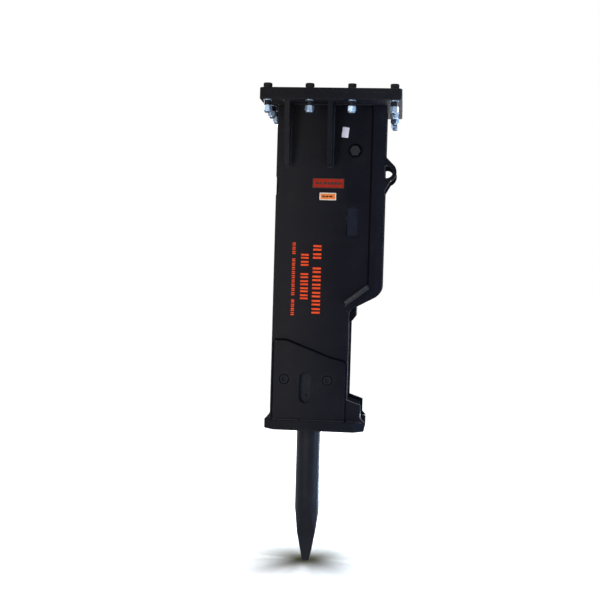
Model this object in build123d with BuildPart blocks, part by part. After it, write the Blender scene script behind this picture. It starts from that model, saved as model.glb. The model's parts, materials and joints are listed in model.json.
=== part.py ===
"""Box-type hydraulic breaker hammer with a 155 mm moil point, in millimetres.

The origin is on the adapter face, where the tool's axis meets it, and +Z points up along that axis,
so everything but the cap bolts' heads lies below zero. The hammer is widest along X, and -Y is the
side plate with the labels. A left part is on the -Y side.
"""

import os
from math import cos, radians, sin, tan

from build123d import *

# Overall levels, measured down from the adapter face.
TOOL_RADIUS = 77.5
OVERALL_LENGTH = 2875
TIP_Z = -OVERALL_LENGTH
PAD_HEIGHT = 3
CAP_THICKNESS = 27
FLANGE_THICKNESS = 39
CAP_TOP = -PAD_HEIGHT
CAP_BOTTOM = CAP_TOP - CAP_THICKNESS
FLANGE_BOTTOM = CAP_BOTTOM - FLANGE_THICKNESS
BASE_TOP = -1976
BASE_THICKNESS = 62
BASE_BOTTOM = BASE_TOP - BASE_THICKNESS

# Housing box.
PLATE = 25
INNER_Y = 168
OUTER_Y = INNER_Y + PLATE
WEAR_THICKNESS = 10
REAR_X = -229
FRONT_X = 427
LOWER_FRONT_X = 236
WALL = 20
EDGE_INSET = 15
STEP_ANGLE = 28.2
STEP_Z = -1303
STEP_RISE = tan(radians(STEP_ANGLE))
UPPER_STEP_Z = STEP_Z + (FRONT_X - LOWER_FRONT_X) * STEP_RISE

# Corner bars: thick bars that stiffen the front edge of each side plate.
BAR_INNER_X = 343
BAR_THICKNESS = 45
BAR_INNER_Y = OUTER_Y - BAR_THICKNESS
BAR_BEVEL_WIDTH = 41
BAR_BEVEL_DEPTH = 20
EYE_OUTER_Y = OUTER_Y - BAR_BEVEL_DEPTH

# Top plates and their ring of M30 bolts.
TOP_CENTRE_X = 99
TOP_LENGTH = 834
TOP_WIDTH = 780
TOP_CORNER = 30
PAD_SIZE = (600, 500)
PAD_CORNER = 15
FLANGE_OPENING = (590, 330)
OPENING_X = 95
OPENING_CORNER = 25
BOLT_PITCH_X = 248
BOLT_PITCH_Y = 232
M30 = 15
M30_HOLE = 16
M30_HEX = 46
M36 = 18
M36_HOLE = 19
M36_HEAD = 27
M36_HEX = 55
M36_SOCKET = 27
SOCKET_SHARE = 0.55  # of a screw head's height
SCREW_END = 2  # chamfer on the end of a thread
FIT_GAP = 0.05  # around every bolt, pin and plug in its own hole

# Power cell, on the tool's axis.
HEAD_BOTTOM = BASE_TOP + 30
HEAD_TOP = -1386
HEAD_X = 165
HEAD_Y = INNER_Y - 1
CYLINDER_TOP = -626
CYLINDER_X = 140
CYLINDER_Y = 135
CELL_CORNER = 44
BACK_TOP = -156
TIE_X = 103
TIE_Y = 98
TIE_RADIUS = 21
PIN_RADIUS = 27
PIN_Z = -1740
FLAT_DEPTH = 14
PIN_Y = TOOL_RADIUS - FLAT_DEPTH + PIN_RADIUS + 0.5
TOOL_TRAVEL = 80
ROD_RADIUS = 61
LAND_RADIUS = 72
GAS_ROD_RADIUS = 64
SLIDING_GAP = 0.08

# Features of the side plates, as (X, Z).
LOWER_BOLTS = [(-146, -1730), (116, -1730)]
SLOT = (-16, -1777)
SLOT_LENGTH = 193
SLOT_WIDTH = 77
GUIDE_BOLT = (244, -345)
WINDOW = (240, -772)
WINDOW_SIZE = (72, 175)
WINDOW_CORNER = 14
REAR_NOTCH_Z = -562
NOTCH_LENGTH = 109
NOTCH_WIDTH = 34
RECESS_RADIUS = 30
RECESS_DEPTH = 14

# Valve group, on the +X face of the cylinder.
VALVE_X = 218
VALVE_FRONT_X = 312
VALVE_BOTTOM = -1160
VALVE_TOP = -930
VALVE_Y = 90
SPOOL_RADIUS = 28
SPIGOT = 20
PORT_Z = -1045
PORT_Y = 45
ACCUMULATOR_Z = -772

os.makedirs("parts", exist_ok=True)


def save(part, label):
    """Labels a finished piece and writes it under the same name."""
    part.label = label
    export_step(part, f"parts/{label}.step")


def save_mirrored(part, label):
    """Writes the piece's twin on the +Y side."""
    with BuildPart() as twin:
        mirror(part, about=Plane.XZ)
    save(twin.part, label)


def rim_points():
    """The twelve bolt places, four along each edge of the top plates."""
    half_x = 1.5 * BOLT_PITCH_X
    half_y = 1.5 * BOLT_PITCH_Y
    grid_x = [-half_x + i * BOLT_PITCH_X for i in range(4)]
    grid_y = [-half_y + i * BOLT_PITCH_Y for i in range(4)]
    return [
        (TOP_CENTRE_X + x, y)
        for x in grid_x
        for y in grid_y
        if abs(x) == half_x or abs(y) == half_y
    ]


def ring(outer, inner, bottom, top):
    """A plain ring about the tool's axis."""
    with BuildPart() as body:
        with BuildSketch(Plane.XY.offset(bottom)):
            Circle(outer)
            Circle(inner, mode=Mode.SUBTRACT)
        extrude(amount=top - bottom)
    return body.part


def hex_body(across_flats, height):
    """A hexagon standing on Z = 0 with its corners turned off, as on a nut or a bolt head."""
    corner = across_flats / 2 / cos(radians(30))
    with BuildPart() as body:
        Cylinder(corner, height, align=(Align.CENTER, Align.CENTER, Align.MIN))
        chamfer(body.edges().filter_by(GeomType.CIRCLE), 0.07 * across_flats)
        with BuildSketch():
            RegularPolygon(across_flats / 2, 6, major_radius=False)
        extrude(amount=height, mode=Mode.INTERSECT)
    return body.part


def socket_screw(radius, head_radius, head_height, length, socket):
    """A socket-head screw: the seat is at Z = 0, the head above it and the shank below."""
    with BuildPart() as screw:
        Cylinder(head_radius, head_height, align=(Align.CENTER, Align.CENTER, Align.MIN))
        chamfer(screw.edges().group_by(Axis.Z)[-1], SCREW_END)
        with BuildSketch(Plane.XY.offset(head_height)):
            RegularPolygon(socket / 2, 6, major_radius=False)
        extrude(amount=-SOCKET_SHARE * head_height, mode=Mode.SUBTRACT)
        Cylinder(radius, length, align=(Align.CENTER, Align.CENTER, Align.MAX))
        chamfer(screw.edges().group_by(Axis.Z)[0], SCREW_END)
    return screw.part


def across(x, z, y):
    """A place on a side plate, with local Z pointing out of the box on the side that y is on."""
    return Location((x, y, z), (90 if y < 0 else -90, 0, 0))


# ---------------------------------------------------------------- top plates and their bolts

with BuildPart() as housing_flange:
    with BuildSketch(Plane.XY.offset(FLANGE_BOTTOM)):
        with Locations((TOP_CENTRE_X, 0)):
            RectangleRounded(TOP_LENGTH, TOP_WIDTH, TOP_CORNER)
        with Locations((OPENING_X, 0)):
            RectangleRounded(*FLANGE_OPENING, OPENING_CORNER, mode=Mode.SUBTRACT)
        with Locations(*rim_points()):
            Circle(M30_HOLE, mode=Mode.SUBTRACT)
    extrude(amount=FLANGE_THICKNESS)
    chamfer(housing_flange.faces().sort_by(Axis.Z)[0].outer_wire().edges(), 2)
save(housing_flange.part, "housing_flange")

with BuildPart() as cap_plate:
    with BuildSketch(Plane.XY.offset(CAP_BOTTOM)):
        with Locations((TOP_CENTRE_X, 0)):
            RectangleRounded(TOP_LENGTH, TOP_WIDTH, TOP_CORNER)
        with Locations(*rim_points()):
            Circle(M30_HOLE, mode=Mode.SUBTRACT)
    extrude(amount=CAP_THICKNESS)
    chamfer(cap_plate.faces().sort_by(Axis.Z)[-1].outer_wire().edges(), 3)
    with BuildSketch(Plane.XY.offset(CAP_TOP)):
        with Locations((TOP_CENTRE_X, 0)):
            RectangleRounded(*PAD_SIZE, PAD_CORNER)
    extrude(amount=PAD_HEIGHT)
save(cap_plate.part, "cap_plate")

HEAD_HEIGHT = 23
WASHER_RADIUS = 25
WASHER_HEIGHT = 6
SLEEVE_RADIUS = 20
SLEEVE_HEIGHT = 29
NUT_HEX_HEIGHT = 30
NUT_HEIGHT = 39
NUT_COLLAR = 21.5
THREAD_END = 4
WASHER_BOTTOM = FLANGE_BOTTOM - WASHER_HEIGHT
SLEEVE_BOTTOM = WASHER_BOTTOM - SLEEVE_HEIGHT
NUT_BOTTOM = SLEEVE_BOTTOM - NUT_HEIGHT
HEAD_SEAT = CAP_TOP + WASHER_HEIGHT
HEX_TURN = 17  # degrees from one bolt to the next, so that no two sit alike


def turned_rim(z):
    """The bolt places at one level, each turned a little further than the last."""
    return [Location((x, y, z), (0, 0, i * HEX_TURN)) for i, (x, y) in enumerate(rim_points())]


bolt_head = hex_body(M30_HEX, HEAD_HEIGHT)

with BuildPart() as cap_bolt:
    add(bolt_head)
    Cylinder(
        M30,
        HEAD_SEAT - NUT_BOTTOM + THREAD_END,
        align=(Align.CENTER, Align.CENTER, Align.MAX),
    )
    chamfer(cap_bolt.edges().group_by(Axis.Z)[0], SCREW_END)

with BuildPart() as cap_bolts:
    with Locations(*turned_rim(HEAD_SEAT)):
        add(cap_bolt.part)
save(cap_bolts.part, "cap_bolts")

with BuildPart() as head_washers:
    with BuildSketch(Plane.XY.offset(CAP_TOP)):
        with Locations(*rim_points()):
            Circle(WASHER_RADIUS)
            Circle(M30_HOLE, mode=Mode.SUBTRACT)
    extrude(amount=WASHER_HEIGHT)
save(head_washers.part, "head_washers")

with BuildPart() as cap_washers:
    with BuildSketch(Plane.XY.offset(WASHER_BOTTOM)):
        with Locations(*rim_points()):
            Circle(WASHER_RADIUS)
            Circle(M30_HOLE, mode=Mode.SUBTRACT)
    extrude(amount=WASHER_HEIGHT)
save(cap_washers.part, "cap_washers")

with BuildPart() as cap_sleeves:
    with BuildSketch(Plane.XY.offset(SLEEVE_BOTTOM)):
        with Locations(*rim_points()):
            Circle(SLEEVE_RADIUS)
            Circle(M30_HOLE, mode=Mode.SUBTRACT)
    extrude(amount=SLEEVE_HEIGHT)
save(cap_sleeves.part, "cap_sleeves")

nut_hex = hex_body(M30_HEX, NUT_HEX_HEIGHT)

with BuildPart() as cap_nut:
    with Locations((0, 0, NUT_HEIGHT - NUT_HEX_HEIGHT)):
        add(nut_hex)
    Cylinder(NUT_COLLAR, NUT_HEIGHT - 1, align=(Align.CENTER, Align.CENTER, Align.MIN))
    fillet(cap_nut.faces().sort_by(Axis.Z)[0].outer_wire().edges(), 5)
    Cylinder(M30 + FIT_GAP, 2 * NUT_HEIGHT + 1, mode=Mode.SUBTRACT)

with BuildPart() as cap_nuts:
    with Locations(*turned_rim(NUT_BOTTOM)):
        add(cap_nut.part)
save(cap_nuts.part, "cap_nuts")

# ---------------------------------------------------------------- side plates

REAR_FOOT_X = -255
REAR_FOOT_TOP = -1936
BAR_END = (207, -1267)
BAR_FOOT = (LOWER_FRONT_X, -1335)
FOOT_TOP = -1844
FOOT_X = 320
FOOT_SHOULDER = -1873
FOOT_KNEE = -1951
BASE_FRONT_X = 343
EDGE_CHAMFER = 5
PANEL_CORNER_Z = -1163
BAR_GROOVE = 4

with BuildPart() as side_plate_left:
    with BuildSketch(Plane.XZ.offset(INNER_Y)):
        with BuildLine():
            Polyline(
                (REAR_FOOT_X, BASE_TOP),
                (REAR_X, REAR_FOOT_TOP),
                (REAR_X, FLANGE_BOTTOM),
                (BAR_INNER_X, FLANGE_BOTTOM),
                (BAR_INNER_X, PANEL_CORNER_Z),
                BAR_END,
                BAR_FOOT,
                (LOWER_FRONT_X, FOOT_TOP),
                (FOOT_X, FOOT_SHOULDER),
                (FOOT_X, FOOT_KNEE),
                (BASE_FRONT_X, BASE_TOP),
                close=True,
            )
        make_face()
        with Locations(SLOT):
            SlotOverall(SLOT_LENGTH, SLOT_WIDTH, rotation=90, mode=Mode.SUBTRACT)
        with Locations(WINDOW):
            RectangleRounded(*WINDOW_SIZE, WINDOW_CORNER, mode=Mode.SUBTRACT)
        with Locations(GUIDE_BOLT, *LOWER_BOLTS):
            Circle(M36_HOLE, mode=Mode.SUBTRACT)
        with Locations((REAR_X, REAR_NOTCH_Z)):
            SlotOverall(NOTCH_LENGTH, NOTCH_WIDTH, rotation=90, mode=Mode.SUBTRACT)
    extrude(amount=PLATE)
    with BuildSketch(Plane.XZ.offset(OUTER_Y)):
        with Locations(*LOWER_BOLTS):
            Circle(RECESS_RADIUS)
    extrude(amount=-RECESS_DEPTH, mode=Mode.SUBTRACT)
    outer_edges = side_plate_left.faces().sort_by(Axis.Y)[0].outer_wire().edges()
    below_flange = outer_edges.filter_by(lambda e: FLANGE_BOTTOM - 1 > e.center().Z > BASE_TOP + 1)
    at_bar = below_flange.filter_by(
        lambda e: e.center().X > BAR_INNER_X - 1 or BAR_END[0] < e.center().X < BAR_INNER_X
        and BAR_FOOT[1] < e.center().Z < PANEL_CORNER_Z
    )
    chamfer([e for e in below_flange if e not in at_bar], EDGE_CHAMFER)
    groove = side_plate_left.faces().sort_by(Axis.Y)[0].outer_wire().edges()
    chamfer(groove.filter_by(lambda e: abs(e.center().X - BAR_INNER_X) < 1), BAR_GROOVE)
save(side_plate_left.part, "side_plate_left")
save_mirrored(side_plate_left.part, "side_plate_right")

PLUG_RECESS = 7
PLUG_LIP = 12

with BuildPart() as window_plug:
    with BuildSketch(Plane.XZ.offset(INNER_Y - PLUG_LIP)):
        with Locations(WINDOW):
            RectangleRounded(
                WINDOW_SIZE[0] + 2 * PLUG_LIP,
                WINDOW_SIZE[1] + 2 * PLUG_LIP,
                WINDOW_CORNER + PLUG_LIP / 2,
            )
    extrude(amount=PLUG_LIP)
    with BuildSketch(Plane.XZ.offset(INNER_Y)):
        with Locations(WINDOW):
            RectangleRounded(*WINDOW_SIZE, WINDOW_CORNER)
    extrude(amount=PLATE - PLUG_RECESS)
    fillet(window_plug.faces().sort_by(Axis.Y)[0].edges(), 3)

with BuildPart() as window_plugs:
    add(window_plug.part)
    mirror(window_plug.part, about=Plane.XZ)
save(window_plugs.part, "window_plugs")

# ---------------------------------------------------------------- corner bars with lifting eyes

EYE = (434, -465)
EYE_RADIUS = 60
EYE_HOLE = 37
EYE_FLAT_X = 424
EYE_ROOT_X = FRONT_X - 30
EYE_ROOT_REACH = 130
EYE_TOP_REACH = 92
EYE_FOOT_REACH = 110
EYE_UPPER_TANGENT = (40, 44)
EYE_LOWER_TANGENT = (24, -55)

BAR_RADII = (85, 40)
BEVEL_TURN_END = 60
BEVEL_FADE_END = 185
STEP_DOWN = (-cos(radians(STEP_ANGLE)), 0, -sin(radians(STEP_ANGLE)))
STEP_INWARD = (-sin(radians(STEP_ANGLE)), 0, cos(radians(STEP_ANGLE)))


def step_point(along):
    """A place on the sloping step, measured down it from the upper corner."""
    return FRONT_X + along * STEP_DOWN[0], UPPER_STEP_Z + along * STEP_DOWN[2]


with BuildPart() as corner_bar_left:
    with BuildSketch(Plane.XZ.offset(BAR_INNER_Y)):
        with BuildLine():
            front_line = FilletPolyline(
                (FRONT_X, FLANGE_BOTTOM),
                (FRONT_X, UPPER_STEP_Z),
                (LOWER_FRONT_X, STEP_Z),
                BAR_FOOT,
                radius=BAR_RADII,
            )
            Polyline(
                front_line @ 1,
                BAR_END,
                (BAR_INNER_X, PANEL_CORNER_Z),
                (BAR_INNER_X, FLANGE_BOTTOM),
                front_line @ 0,
            )
        make_face()
    extrude(amount=BAR_THICKNESS)
    with BuildLine(Plane.XZ.offset(OUTER_Y)) as bevel_path:
        FilletPolyline(
            (FRONT_X, FLANGE_BOTTOM),
            (FRONT_X, UPPER_STEP_Z),
            step_point(BEVEL_TURN_END),
            radius=BAR_RADII[0],
        )
    with BuildSketch(Plane.XY.offset(FLANGE_BOTTOM)):
        with BuildLine():
            Polyline(
                (FRONT_X, -OUTER_Y + BAR_BEVEL_DEPTH),
                (FRONT_X - BAR_BEVEL_WIDTH, -OUTER_Y),
                (FRONT_X, -OUTER_Y),
                close=True,
            )
        make_face()
    sweep(path=bevel_path.line, mode=Mode.SUBTRACT)
    for along, share in ((BEVEL_TURN_END, 1), (BEVEL_FADE_END, 0.1)):
        x, z = step_point(along)
        with BuildSketch(
            Plane((x, -OUTER_Y, z), x_dir=STEP_INWARD, z_dir=STEP_DOWN)
        ):
            with BuildLine():
                Polyline(
                    (0, 0),
                    (share * BAR_BEVEL_WIDTH, 0),
                    (0, share * BAR_BEVEL_DEPTH),
                    close=True,
                )
            make_face()
    loft(mode=Mode.SUBTRACT)
    with BuildSketch(Plane.XZ.offset(BAR_INNER_Y)):
        with Locations(EYE):
            Circle(EYE_RADIUS)
        with BuildLine():
            Polyline(
                (EYE_ROOT_X, EYE[1] + EYE_ROOT_REACH),
                (FRONT_X, EYE[1] + EYE_TOP_REACH),
                (EYE[0] + EYE_UPPER_TANGENT[0], EYE[1] + EYE_UPPER_TANGENT[1]),
                (EYE[0] + EYE_LOWER_TANGENT[0], EYE[1] + EYE_LOWER_TANGENT[1]),
                (FRONT_X, EYE[1] - EYE_FOOT_REACH),
                (EYE_ROOT_X, EYE[1] - EYE_ROOT_REACH),
                close=True,
            )
        make_face()
    extrude(amount=EYE_OUTER_Y - BAR_INNER_Y)
    with BuildSketch(Plane.XZ.offset(BAR_INNER_Y)):
        with Locations(EYE):
            Circle(EYE_HOLE)
        with Locations((EYE_FLAT_X - EYE_HOLE, EYE[1])):
            Rectangle(2 * EYE_HOLE, 2 * EYE_HOLE, mode=Mode.SUBTRACT)
    extrude(amount=BAR_THICKNESS, mode=Mode.SUBTRACT)
save(corner_bar_left.part, "corner_bar_left")
save_mirrored(corner_bar_left.part, "corner_bar_right")

# ---------------------------------------------------------------- wear plates and flange ribs

WEAR_REAR_X = -212
WEAR_FRONT_X = 224
WEAR_GAP = 6
WEAR_SEAM = [(WEAR_REAR_X, -1495), (-137, -1495), (129, -1595), (208, -1614), (WEAR_FRONT_X, -1631)]

with BuildPart() as wear_plate_left:
    with BuildSketch(Plane.XZ.offset(OUTER_Y)):
        with BuildLine():
            Polyline(
                (WEAR_REAR_X, BASE_TOP + WEAR_GAP),
                *WEAR_SEAM,
                (WEAR_FRONT_X, BASE_TOP + WEAR_GAP),
                close=True,
            )
        make_face()
        with Locations(SLOT):
            SlotOverall(SLOT_LENGTH, SLOT_WIDTH, rotation=90, mode=Mode.SUBTRACT)
        with Locations(*LOWER_BOLTS):
            Circle(RECESS_RADIUS, mode=Mode.SUBTRACT)
    extrude(amount=WEAR_THICKNESS)
    chamfer(wear_plate_left.faces().sort_by(Axis.Y)[0].edges(), 2)
save(wear_plate_left.part, "wear_plate_left")
save_mirrored(wear_plate_left.part, "wear_plate_right")

RIB_X = (-159, 96)
RIB_THICKNESS = 29
RIB_BOTTOM = -442
RIB_REACH = 144
RIB_FOOT_REACH = 77
RIB_FOOT_RADIUS = 50
RIB_FOOT = (-OUTER_Y - RIB_FOOT_REACH, RIB_BOTTOM)

with BuildPart() as left_ribs:
    with BuildSketch(*[Plane.YZ.offset(x - RIB_THICKNESS / 2) for x in RIB_X]) as rib_outline:
        with BuildLine():
            Polyline(
                (-OUTER_Y, FLANGE_BOTTOM),
                (-OUTER_Y - RIB_REACH, FLANGE_BOTTOM),
                RIB_FOOT,
                (-OUTER_Y, RIB_BOTTOM),
                close=True,
            )
        make_face()
        fillet(rib_outline.vertices().sort_by_distance(RIB_FOOT)[0], RIB_FOOT_RADIUS)
    extrude(amount=RIB_THICKNESS)

with BuildPart() as flange_ribs:
    add(left_ribs.part)
    mirror(left_ribs.part, about=Plane.XZ)
save(flange_ribs.part, "flange_ribs")

# ---------------------------------------------------------------- front, rear and base of the box

WALL_FRONT_X = FRONT_X - EDGE_INSET
LOWER_WALL_FRONT_X = LOWER_FRONT_X - EDGE_INSET
REAR_WALL_X = REAR_X + 5
HOSE_WINDOW = (210, 170)
HOSE_WINDOW_CORNER = 30


def step_z(x, inset):
    """Height of the sloping step at x, for a line that lies inset inside the bar's edge."""
    return STEP_Z + inset / cos(radians(STEP_ANGLE)) + (x - LOWER_FRONT_X) * STEP_RISE


OUTER_CORNER = (WALL_FRONT_X, step_z(WALL_FRONT_X, EDGE_INSET))
INNER_CORNER = (WALL_FRONT_X - WALL, step_z(WALL_FRONT_X - WALL, EDGE_INSET + WALL))
OUTER_BEND = (LOWER_WALL_FRONT_X, step_z(LOWER_WALL_FRONT_X, EDGE_INSET))
INNER_BEND = (LOWER_WALL_FRONT_X - WALL, step_z(LOWER_WALL_FRONT_X - WALL, EDGE_INSET + WALL))

with BuildPart() as front_plate:
    with BuildSketch(Plane.XZ):
        with BuildLine():
            Polyline(
                (WALL_FRONT_X, FLANGE_BOTTOM),
                OUTER_CORNER,
                INNER_CORNER,
                (WALL_FRONT_X - WALL, FLANGE_BOTTOM),
                close=True,
            )
        make_face()
    extrude(amount=BAR_INNER_Y, both=True)
    with BuildSketch(Plane.YZ.offset(WALL_FRONT_X)):
        with Locations((0, PORT_Z)):
            RectangleRounded(*HOSE_WINDOW, HOSE_WINDOW_CORNER)
    extrude(amount=-WALL, mode=Mode.SUBTRACT)
save(front_plate.part, "front_plate")

with BuildPart() as step_plate:
    with BuildSketch(Plane.XZ):
        with BuildLine():
            Polyline(OUTER_CORNER, OUTER_BEND, INNER_BEND, INNER_CORNER, close=True)
        make_face()
    extrude(amount=BAR_INNER_Y, both=True)
save(step_plate.part, "step_plate")

with BuildPart() as lower_front_plate:
    with BuildSketch(Plane.XZ):
        with BuildLine():
            Polyline(
                OUTER_BEND,
                (LOWER_WALL_FRONT_X, BASE_TOP),
                (LOWER_WALL_FRONT_X - WALL, BASE_TOP),
                INNER_BEND,
                close=True,
            )
        make_face()
    extrude(amount=BAR_INNER_Y, both=True)
    with BuildSketch(Plane.XY.offset(BASE_TOP)):
        with Locations((LOWER_WALL_FRONT_X, 0)):
            Rectangle(WALL, 2 * INNER_Y, align=(Align.MAX, Align.CENTER))
    extrude(amount=BAR_FOOT[1] - BASE_TOP)
save(lower_front_plate.part, "lower_front_plate")

with BuildPart() as rear_plate:
    with BuildSketch(Plane.XY.offset(BASE_TOP)):
        with Locations((REAR_WALL_X, 0)):
            Rectangle(WALL, 2 * INNER_Y, align=(Align.MIN, Align.CENTER))
    extrude(amount=FLANGE_BOTTOM - BASE_TOP)
save(rear_plate.part, "rear_plate")

BRACE_X = 273
BRACE_KNEE = (245, -1374)
BRACE_CORNER_Z = -1339
BRACE_HALF_Y = 70

with BuildPart() as cross_brace:
    with BuildSketch(Plane.XZ):
        with BuildLine():
            Polyline(
                (LOWER_WALL_FRONT_X, OUTER_BEND[1]),
                (BRACE_X, step_z(BRACE_X, EDGE_INSET)),
                (BRACE_X, BRACE_CORNER_Z),
                BRACE_KNEE,
                (LOWER_WALL_FRONT_X, BRACE_KNEE[1]),
                close=True,
            )
        make_face()
    extrude(amount=BRACE_HALF_Y, both=True)
    chamfer(cross_brace.faces().sort_by(Axis.X)[-1].edges(), 4)
save(cross_brace.part, "cross_brace")

BASE_REAR_X = -266
BASE_HALF_Y = 215
BASE_CHAMFER = 61
BASE_BORE = 101

with BuildPart() as base_plate:
    with BuildSketch(Plane.XY.offset(BASE_BOTTOM)) as base_outline:
        with Locations((BASE_REAR_X, 0)):
            Rectangle(BASE_FRONT_X - BASE_REAR_X, 2 * BASE_HALF_Y, align=(Align.MIN, Align.CENTER))
        chamfer(base_outline.vertices(), BASE_CHAMFER)
        Circle(BASE_BORE, mode=Mode.SUBTRACT)
    extrude(amount=BASE_THICKNESS)
    chamfer(base_plate.faces().sort_by(Axis.Z)[-1].outer_wire().edges(), 5)
    chamfer(base_plate.faces().sort_by(Axis.Z)[0].edges(), 5)
save(base_plate.part, "base_plate")

FOOT_WALL_X = FOOT_X - EDGE_INSET

with BuildPart() as foot_plate:
    with BuildSketch(Plane.XZ):
        with BuildLine():
            Polyline(
                (LOWER_WALL_FRONT_X, BASE_TOP),
                (LOWER_WALL_FRONT_X, FOOT_TOP - EDGE_INSET),
                (FOOT_WALL_X, FOOT_SHOULDER - EDGE_INSET),
                (FOOT_WALL_X, BASE_TOP),
                close=True,
            )
        make_face()
    extrude(amount=INNER_Y, both=True)
save(foot_plate.part, "foot_plate")

NAME_PLATE = (88, -542)
NAME_PLATE_SIZE = (191, 60)
NAME_PLATE_THICKNESS = 2

with BuildPart() as name_plate:
    with BuildSketch(Plane.XZ.offset(OUTER_Y)):
        with Locations(NAME_PLATE):
            RectangleRounded(*NAME_PLATE_SIZE, 4)
    extrude(amount=NAME_PLATE_THICKNESS)
save(name_plate.part, "name_plate")

# ---------------------------------------------------------------- cross bolts of the box

TIE_BAR_RADIUS = 36
BOLT_REACH = 60
GUIDE_WASHER_RADIUS = 41
GUIDE_WASHER_HEIGHT = 8
GUIDE_HEAD_HEIGHT = 22
GUIDE_GRIP = 50
SIDES = (-1, 1)

with BuildPart() as tie_bar:
    with BuildSketch(Plane.XZ.offset(-INNER_Y)):
        with Locations(GUIDE_BOLT):
            Circle(TIE_BAR_RADIUS)
    extrude(amount=2 * INNER_Y)
    for y in (-INNER_Y, INNER_Y):
        with Locations(across(*GUIDE_BOLT, y)):
            Cylinder(
                M36 + FIT_GAP,
                BOLT_REACH,
                align=(Align.CENTER, Align.CENTER, Align.MAX),
                mode=Mode.SUBTRACT,
            )
save(tie_bar.part, "tie_bar")

guide_bolt_head = hex_body(M36_HEX, GUIDE_HEAD_HEIGHT)

with BuildPart() as guide_bolt:
    add(guide_bolt_head)
    Cylinder(
        M36,
        PLATE + GUIDE_WASHER_HEIGHT + GUIDE_GRIP,
        align=(Align.CENTER, Align.CENTER, Align.MAX),
    )
    chamfer(guide_bolt.edges().group_by(Axis.Z)[0], SCREW_END)

with BuildPart() as guide_bolts:
    with Locations(*[across(*GUIDE_BOLT, side * (OUTER_Y + GUIDE_WASHER_HEIGHT)) for side in SIDES]):
        add(guide_bolt.part)
save(guide_bolts.part, "guide_bolts")

with BuildPart() as guide_washers:
    with Locations(*[across(*GUIDE_BOLT, side * OUTER_Y) for side in SIDES]):
        Cylinder(GUIDE_WASHER_RADIUS, GUIDE_WASHER_HEIGHT, align=(Align.CENTER, Align.CENTER, Align.MIN))
    chamfer(guide_washers.faces().filter_by(Axis.Y).sort_by(Axis.Y)[0].edges(), 2.5)
    chamfer(guide_washers.faces().filter_by(Axis.Y).sort_by(Axis.Y)[-1].edges(), 2.5)
    with Locations(*[across(*GUIDE_BOLT, side * OUTER_Y) for side in SIDES]):
        Cylinder(M36_HOLE, 3 * GUIDE_WASHER_HEIGHT, mode=Mode.SUBTRACT)
save(guide_washers.part, "guide_washers")

LOWER_SEAT_Y = OUTER_Y - RECESS_DEPTH
LOWER_BOLT_LENGTH = 55
LOWER_HEAD_HEIGHT = 21
HEAD_BOLT_DEPTH = 45
lower_bolt = socket_screw(M36, M36_HEAD, LOWER_HEAD_HEIGHT, LOWER_BOLT_LENGTH, M36_SOCKET)

with BuildPart() as lower_side_bolts:
    with Locations(*[across(x, z, side * LOWER_SEAT_Y) for x, z in LOWER_BOLTS for side in SIDES]):
        add(lower_bolt)
save(lower_side_bolts.part, "lower_side_bolts")

# ---------------------------------------------------------------- front head and what holds the tool

BUSHING_RADIUS = 96
LOWER_BUSHING_TOP = -1795
DUST_SEAL_BOTTOM = HEAD_BOTTOM + 20
DUST_SEAL_HEIGHT = 14
DUST_SEAL_RADIUS = TOOL_RADIUS + 8
UPPER_BUSHING_BOTTOM = -1685
UPPER_BUSHING_TOP = -1455
TIE_HOLE_BOTTOM = -1545
STOPPER_RADIUS = 9
STOPPER_X = SLOT[0]
STOPPER_Z = PIN_Z - PIN_RADIUS
STOPPER_LENGTH = HEAD_Y - PIN_Y
PLUG_RADIUS = 17
PLUG_DEPTH = 12
NIPPLE_Z = -1825
NIPPLE_RADIUS = 4
TIE_PLACES = [(x, y) for x in (-TIE_X, TIE_X) for y in (-TIE_Y, TIE_Y)]

HEAD_CHAMFER = 10
NIPPLE_PORT_DEPTH = HEAD_Y - BUSHING_RADIUS + 20

with BuildPart() as front_head:
    with BuildSketch(Plane.XY.offset(HEAD_BOTTOM)):
        RectangleRounded(2 * HEAD_X, 2 * HEAD_Y, CELL_CORNER)
        Circle(BUSHING_RADIUS, mode=Mode.SUBTRACT)
    extrude(amount=HEAD_TOP - HEAD_BOTTOM)
    chamfer(front_head.faces().sort_by(Axis.Z)[0].outer_wire().edges(), HEAD_CHAMFER)
    with BuildSketch(Plane.XY.offset(HEAD_TOP)):
        with Locations(*TIE_PLACES):
            Circle(TIE_RADIUS + FIT_GAP)
    extrude(amount=TIE_HOLE_BOTTOM - HEAD_TOP, mode=Mode.SUBTRACT)
    with BuildSketch(Plane.YZ.offset(-HEAD_X)):
        with Locations((-PIN_Y, PIN_Z), (PIN_Y, PIN_Z)):
            Circle(PIN_RADIUS + FIT_GAP)
    extrude(amount=2 * HEAD_X, mode=Mode.SUBTRACT)
    for side in SIDES:
        with Locations(*[across(x, z, side * HEAD_Y) for x, z in LOWER_BOLTS]):
            Cylinder(
                M36 + FIT_GAP,
                HEAD_BOLT_DEPTH,
                align=(Align.CENTER, Align.CENTER, Align.MAX),
                mode=Mode.SUBTRACT,
            )
        with Locations(across(STOPPER_X, STOPPER_Z, side * HEAD_Y)):
            Cylinder(
                STOPPER_RADIUS + FIT_GAP,
                STOPPER_LENGTH,
                align=(Align.CENTER, Align.CENTER, Align.MAX),
                mode=Mode.SUBTRACT,
            )
            Cylinder(
                PLUG_RADIUS + FIT_GAP,
                PLUG_DEPTH,
                align=(Align.CENTER, Align.CENTER, Align.MAX),
                mode=Mode.SUBTRACT,
            )
    with Locations(across(SLOT[0], NIPPLE_Z, -HEAD_Y)):
        Cylinder(
            NIPPLE_RADIUS + FIT_GAP,
            NIPPLE_PORT_DEPTH,
            align=(Align.CENTER, Align.CENTER, Align.MAX),
            mode=Mode.SUBTRACT,
        )
save(front_head.part, "front_head")

lower_sleeve = ring(BUSHING_RADIUS, TOOL_RADIUS + SLIDING_GAP, HEAD_BOTTOM, LOWER_BUSHING_TOP)

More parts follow.
